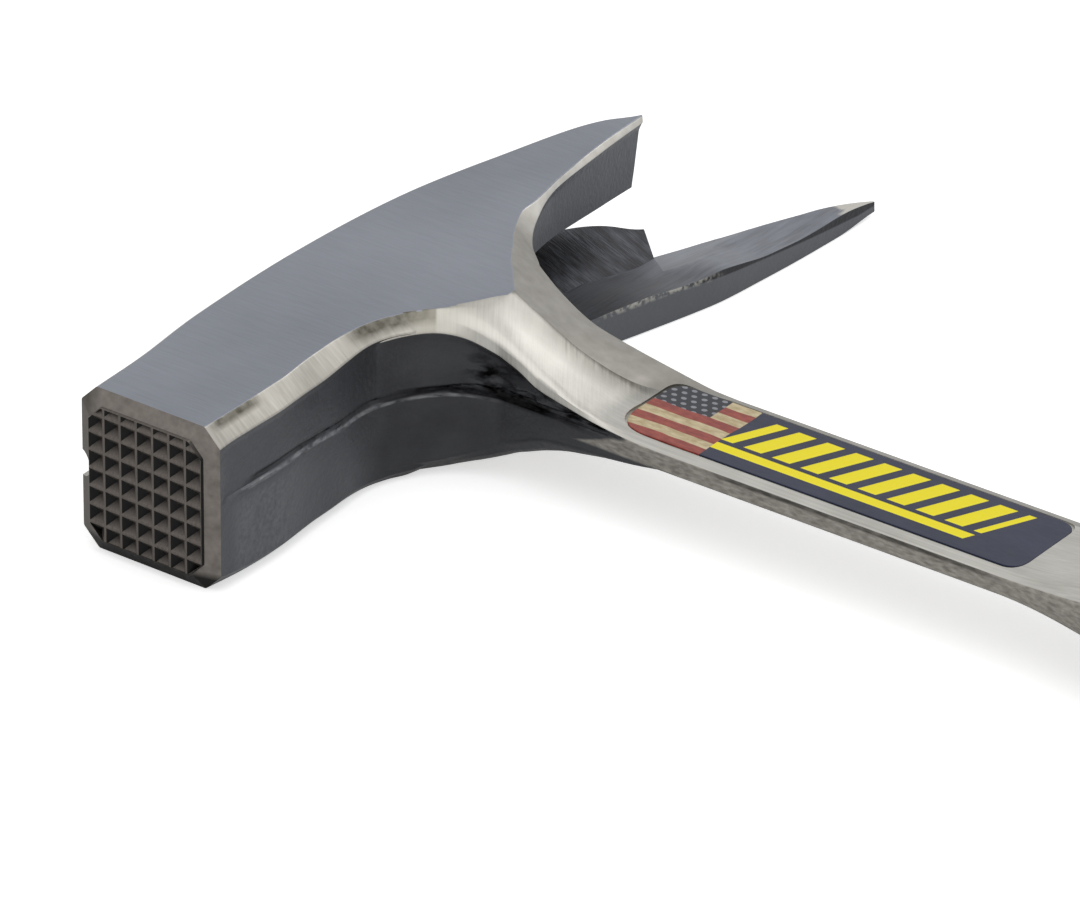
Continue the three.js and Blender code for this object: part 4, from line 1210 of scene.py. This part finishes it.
def spike_facet():
    """Scale that a hand-held grinder has half taken off the spike: bluish grey and rough, with lines along
    it, darker by the jaw with painted shade, and bright at the very tip."""
    # the facets are lighter past the jaw; their darker colour by the jaw is painted shade
    marks = [(("565960", "858992", "tone"), ("ragged", 112, 128)), ("BDBAB3", ("ragged", 155.5, 156.5))]
    sums = {"tone": ("MIX", 0.5, "cloud", "lines"), "ragged": ("ADD", "y", ("cloud", 0, 1, 0, 3))}
    return surface(
        "half_ground_forge_scale", {"Metallic": 0.75},
        {"cloud": ((3, 9, 3), 4, 1.4), "lines": ((0.7, 7, 2), 4, 1.3)},
        ("303136", "4E5056", "tone"), ("tone", 0.34, 0.5), ("tone", 0.06), marks, sums)


STROKE_TURN = math.radians(-54)     # belt strokes on the root, from the handle's direction
CREASE_SIDE = 60.6                  # end of the head to the line of the crease under the claw-side rim
CREASE_SLOPE_SHARE = 0.14
CREASE_WIDTH = 6                    # grey strip of painted shade along it
ROOT_BLEND = 0.2                    # on either side of the line where the root's grinding begins


def ground_shank():
    """Bare steel, belt ground: slanting strokes on the root, and long fine lines down the flat of the
    shank. Painted shade greys the crease under the claw-side rim, with a painted shadow line along it, and
    the steel is darker over the brow."""
    aslant, across = -math.sin(STROKE_TURN), math.cos(STROKE_TURN)
    begin = BEVEL_END[0] * aslant + BEVEL_END[1] * across
    sums = {
        "scratches": ("MIX", ("x", 36, 48), "strokes", "lines"),
        "tone": ("MIX", 0.4, "scratches", "cloud"),
        "past_bevel": ("ADD", ("MULTIPLY", "x", aslant), ("MULTIPLY", "y", across)),
        "to_crease": ("SUBTRACT", ("ADD", ("MULTIPLY", "x", CREASE_SLOPE_SHARE), CREASE_SIDE), "y"),
    }
    marks = missed_marks() + [
        (("9C9A94", "BCBAB4", "tone"), ("past_bevel", begin - ROOT_BLEND, begin + ROOT_BLEND)),
        # painted shade in the crease under the claw-side rim, and a painted shadow line along it
        ("5F5D55", ("to_crease", CREASE_WIDTH, 0), ("x", 20, 32), ("x", 50, 42), ("strokes", 0, 1, 0.6)),
        ("3C3A35", 0.75, ("to_crease", 1.3, 0.2), ("x", 15, 22), ("x", 48, 40)),
        # darker over the brow
        ("8A877E", 0.5, ("x", 24, 17), ("x", 12, 15)),
    ]
    patterns = {
        "strokes": ((7, 0.35, 7), 4, 1, STROKE_TURN),
        "lines": ((22, 0.3, 0.6), 4),
        "cloud": ((7, 4, 7), 3),
        "ragged": MISSED_GRAIN,
    }
    return surface(
        "satin_ground_steel", {"Metallic": 1}, patterns, ("94918A", "AAA7A0", "strokes"),
        ("scratches", 0.32, 0.42), ("scratches", 0.008), marks, sums)


STRIPE_PITCH = 2.1
STRIPE_FIELD = 16.3             # length of the striped field
CORNER_FIELD = 10.6             # length of its dotted corner
CORNER_START = 2.2              # from the middle of the film
DOT_PITCH = 1.9
DOT_ROW_SHARE = 0.75
DOT_SHARE = 0.26
BAR_PITCH = 5.3                 # slanted bars of the printed motif
BAR_SHARE = 0.62
BAR_SLANT_SHARE = 0.45
MOTIF_START = 17
MOTIF_END = 65
MOTIF_LOW = -2.4
MOTIF_HIGH = 6.6
LINE_LOW = -5.4                 # line under the bars
LINE_HIGH = -3.4
PRINT_WAVE = 0.5

PRINT_SUMS = {
    # place on the film, and the same across it as the print wavers
    "along": ("SUBTRACT", "x", FILM_START),
    "across": ("SUBTRACT", "y", SHANK_CENTRE),
    "ripple": ("MULTIPLY", "drift", PRINT_WAVE),
    "waved": ("ADD", "across", "ripple"),
    # every second stripe
    "second": ("MODULO", ("FLOOR", ("DIVIDE", ("ADD", "waved", FILM_WIDTH / 2), STRIPE_PITCH)), 2),
    "past_stripes": ("GREATER_THAN", ("ADD", "along", "ripple"), STRIPE_FIELD),
    # round dots in staggered rows, by their distance from the middle of their place
    "in_corner": ("ALL", ("LESS_THAN", "along", CORNER_FIELD), ("GREATER_THAN", "waved", CORNER_START)),
    "row": ("DIVIDE", "waved", DOT_PITCH * DOT_ROW_SHARE),
    "column": ("ADD", ("DIVIDE", "along", DOT_PITCH), ("DIVIDE", ("MODULO", ("FLOOR", "row"), 2), 2)),
    "off_row": ("SUBTRACT", ("FRACT", "row"), 1 / 2),
    "off_column": ("SUBTRACT", ("FRACT", "column"), 1 / 2),
    "off_dot": ("SQRT", ("ADD", ("POWER", "off_row", 2), ("POWER", "off_column", 2))),
    # slanted bars over a line
    "slanted": ("SUBTRACT", "along", ("MULTIPLY", "across", BAR_SLANT_SHARE)),
    "bars": ("ALL", ("LESS_THAN", ("FRACT", ("DIVIDE", "slanted", BAR_PITCH)), BAR_SHARE),
             ("GREATER_THAN", "across", MOTIF_LOW), ("LESS_THAN", "across", MOTIF_HIGH)),
    "line": ("ALL", ("GREATER_THAN", "across", LINE_LOW), ("LESS_THAN", "across", LINE_HIGH)),
}
PRINT_MARKS = [
    (("B7A37A", "D9CBA6", "wear"), "second"),
    (("1E2027", "2E3038", "wear"), "in_corner"),
    ("8E9097", "in_corner", ("LESS_THAN", "off_dot", DOT_SHARE)),
    (("1C2238", "2C324A", "cloud"), "past_stripes"),
    ("FFEE00", "past_stripes", ("MAXIMUM", "bars", "line"), ("GREATER_THAN", "slanted", MOTIF_START),
     ("LESS_THAN", "slanted", MOTIF_END)),
]


def printed_film():
    """Glossy printed film: worn cream and red stripes with a dark dotted corner, then navy with yellow
    bars."""
    patterns = {"drift": ((6, 9, 9), 1), "wear": ((1.6, 0.7, 0.7), 4, 1.5), "cloud": ((14, 5, 5), 2)}
    return surface(
        "printed_film", {"Metallic": 0, "IOR": 1.35}, patterns, ("86352C", "A44F43", "wear"),
        ("wear", 0.3, 0.4), ("wear", 0.004), PRINT_MARKS, PRINT_SUMS)


def lacquered_leather():
    """Edges of leather washers, ground together and lacquered: warm brown fibres, each washer its own
    shade."""
    sums = {"tone": ("MIX", 0.45, ("OWN", "shade"), "fibres"), "grain": ("MIX", 0.5, "fibres", "pores")}
    return surface(
        "lacquered_leather", {"Metallic": 0, "IOR": 1.5, "Coat Weight": 0.35, "Coat Roughness": 0.2},
        {"fibres": ((0.3, 3, 3), 4, 1.3), "pores": (0.5, 3, 1.4)}, ("4A2A15", "9A6236", "tone"),
        ("pores", 0.34, 0.56), ("grain", 0.1), sums=sums)


def fibre(name, dark, light):
    """Vulcanised fibre: dense, faintly mottled and a little glossy where it was ground."""
    return surface(
        name, {"Metallic": 0, "IOR": 1.5}, {"mottle": (0.8, 4)}, (dark, light, "mottle"),
        ("mottle", 0.38, 0.5), ("mottle", 0.015))


def cast_aluminium():
    """Cast aluminium cap, ground with the leather: soft grey shine with lines round the handle."""
    return surface(
        "ground_cast_aluminium", {"Metallic": 1}, {"lines": ((0.3, 7, 7), 4)},
        ("A9ABAE", "CFD1D3", "lines"), ("lines", 0.28, 0.42), ("lines", 0.012))


def nickel_plate():
    """Nickel plate: a warm, smooth shine with light handling marks."""
    return surface(
        "nickel_plate", {"Metallic": 1}, {"handling": (0.6, 3)}, ("B5B0A6", "D8D4CC", "handling"),
        ("handling", 0.2, 0.34), ("handling", 0.006))


# The pieces on their bodies

SHARP_ANGLE = math.radians(30)


def finished(name, mesh, materials, slot, *nodes):
    """A piece that stands for CAD nodes: smooth but for its sharp edges, with its materials, riding on
    the body."""
    numbers = np.zeros(len(mesh.polygons), np.int32)
    mesh.polygons.foreach_get("material_index", numbers)
    mesh.materials.clear()
    for material in materials:
        mesh.materials.append(material)
    mesh.polygons.foreach_set("material_index", numbers)
    mesh.shade_smooth()
    mesh.set_sharp_from_angle(angle=SHARP_ANGLE)
    piece = placed(name, mesh)
    weighting = piece.modifiers.new("face weights", "WEIGHTED_NORMAL")
    weighting.keep_sharp = True
    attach(piece, "root")
    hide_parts(*nodes)
    return piece


def build_forging():
    steels = [lacquered_cheek(), ground_bevel(), satin_rim(), forged_skin(), face_rim(), milled_face(),
              slot_flank(), slot_bed(), spike_facet(), ground_shank()]
    finished("forging", forged_body(), steels, "forged_steel", "forged_body")
    finished("starting_magnet", magnet(), [nickel_plate()], "nickel", "nail_magnet")
    finished("film", film(), [printed_film()], "printed_film", "shank_label")


def shaded(mesh, shade):
    """Gives every point of a washer the washer's own shade."""
    attribute = mesh.attributes.new("shade", "FLOAT", "POINT")
    attribute.data.foreach_set("value", np.full(len(mesh.vertices), shade, np.float32))
    return mesh


def build_grip():
    chance = np.random.default_rng(GRIP_SEED)
    leather = lacquered_leather()
    black, cream = fibre("black_fibre", "131315", "232326"), fibre("cream_fibre", "C9BF9C", "E0D8BB")
    stack = SPACER_COUNT * SPACER_THICKNESS
    leather_start, leather_end = COLLAR_END + stack, STACK_END - stack
    edges = np.linspace(leather_start, leather_end, WASHER_COUNT + 1)
    for number, (start, end) in enumerate(zip(edges[:-1], edges[1:]), 1):
        mesh = shaded(washer(start, end, WASHER_DRIFT * chance.random()), chance.random())
        finished(f"leather_{number:02d}", mesh, [leather], "leather", f"leather_washer_{number:02d}")
    for side, first in (("collar", COLLAR_END), ("butt", leather_end)):
        for number in range(SPACER_COUNT):
            start = first + number * SPACER_THICKNESS
            middle = number == SPACER_COUNT // 2
            mesh = washer(start, start + SPACER_THICKNESS, WASHER_DRIFT * chance.random())
            finished(f"{side}_fibre_{number + 1}", mesh, [cream if middle else black],
                     "cream_fibre" if middle else "black_fibre", f"{side}_spacer_{number + 1}")
    finished("cap", butt_cap(), [cast_aluminium()], "aluminium", "butt_cap")
    nickel = nickel_plate()
    for number, y in enumerate(rivet_places(), 1):
        finished(f"rivet_{number}", rivet(y), [nickel], "nickel", f"cap_rivet_{number}")


# Floor, light and camera

FLOOR_SIZE = 3000
FLOOR_GLOWS = (0.56, 0.16)      # as the camera sees it and in reflections
AMBIENT_LEVEL = 0.5
# Bearing of each lamp from the tool, height above it, distance, width, watts, and whether it lights matt
# things
LAMPS = [
    (-54, 78, 900, 950, 3, True),
    (90, 46, 1000, 400, 1, False),
]
CAMERA_BEARING = 36.418         # degrees from the handle's side towards the face
CAMERA_HEIGHT = 28.954
CAMERA_ROLL = 0.559
CAMERA_DISTANCE = 1363.042
CAMERA_RIGHT = 58.861           # how far the picture's middle lies from the face, across and up
CAMERA_UP = 4.481
FOCAL_LENGTH = 300
SENSOR_WIDTH = 36


def build_floor():
    """Pale floor that keeps the object's shadow: white paint that the camera also sees lit from
    within."""
    half = FLOOR_SIZE / 2 * MM
    mesh = bpy.data.meshes.new("floor")
    corners = [(-half, -half, 0), (half, -half, 0), (half, half, 0), (-half, half, 0)]
    mesh.from_pydata(corners, [], [(0, 1, 2, 3)])
    material, shader = shader_of("white_floor", {
        "Base Color": linear("F4F4F4"), "Roughness": 1, "Specular IOR Level": 0,
        "Emission Color": linear("FFFFFF")})
    tree = material.node_tree
    seen = [add(tree, "LightPath", {}, ray) for ray in ("Is Camera Ray", "Is Glossy Ray")]
    glows = []
    for ray, level in zip(seen, FLOOR_GLOWS):
        glows.append(add(tree, "Math", {0: ray, 1: level}, operation="MULTIPLY"))
    tree.links.new(add(tree, "Math", dict(enumerate(glows))), shader.inputs["Emission Strength"])
    mesh.materials.append(material)
    placed("floor", mesh)


def build_light():
    """White surroundings for the eye and for reflections, a plain level of ambient light, and soft
    lamps."""
    world = bpy.data.worlds.new("studio")
    world.use_nodes = True
    tree = world.node_tree
    tree.nodes.clear()
    seen = 0
    for ray in ("Is Camera Ray", "Is Glossy Ray", "Is Transmission Ray"):
        seen = add(tree, "Math", {0: seen, 1: add(tree, "LightPath", {}, ray)}, operation="MAXIMUM")
    level = add(tree, "Mix", {0: seen, 2: AMBIENT_LEVEL, 3: 1})
    background = add(tree, "Background", {"Color": linear("FFFFFF"), "Strength": level})
    tree.links.new(background, tree.nodes.new("ShaderNodeOutputWorld").inputs["Surface"])
    bpy.context.scene.world = world
    for bearing, height, distance, width, watts, lights_matt in LAMPS:
        lamp = bpy.data.lights.new("softbox", "AREA")
        lamp.energy = watts
        lamp.size = width * MM
        bearing, height = math.radians(bearing), math.radians(height)
        level, rise = math.cos(height), math.sin(height)
        back = Vector((math.cos(bearing) * level, math.sin(bearing) * level, rise))
        softbox = bpy.data.objects.new("softbox", lamp)
        softbox.location = back * (distance * MM)
        softbox.rotation_euler = back.to_track_quat("Z", "Y").to_euler()
        softbox.visible_diffuse = lights_matt
        bpy.context.scene.collection.objects.link(softbox)


def build_camera():
    """Camera turned to the photograph's bearing and height, rolled a little, at the photograph's
    distance."""
    bearing, height, roll = (math.radians(angle) for angle in (CAMERA_BEARING, CAMERA_HEIGHT, CAMERA_ROLL))
    level = Vector((math.cos(bearing), math.sin(bearing), 0))
    outwards = Vector((math.sin(bearing), -math.cos(bearing), 0))
    back = math.cos(height) * outwards + Vector((0, 0, math.sin(height)))
    upright = back.cross(level)
    right = math.cos(roll) * level + math.sin(roll) * upright
    up = math.cos(roll) * upright - math.sin(roll) * level
    eye = right * CAMERA_RIGHT + up * CAMERA_UP + back * CAMERA_DISTANCE
    data = bpy.data.cameras.new("photograph")
    data.lens = FOCAL_LENGTH
    data.sensor_width = SENSOR_WIDTH
    camera = bpy.data.objects.new("photograph", data)
    turn = Matrix((right, up, back)).transposed().to_4x4()
    camera.matrix_world = Matrix.Translation(in_frame(eye)) @ turn
    bpy.context.scene.collection.objects.link(camera)
    bpy.context.scene.camera = camera


build_camera()
build_floor()
build_light()
build_forging()
build_grip()
bpy.context.scene.view_settings.view_transform = "Standard"

bpy.context.view_layer.update()
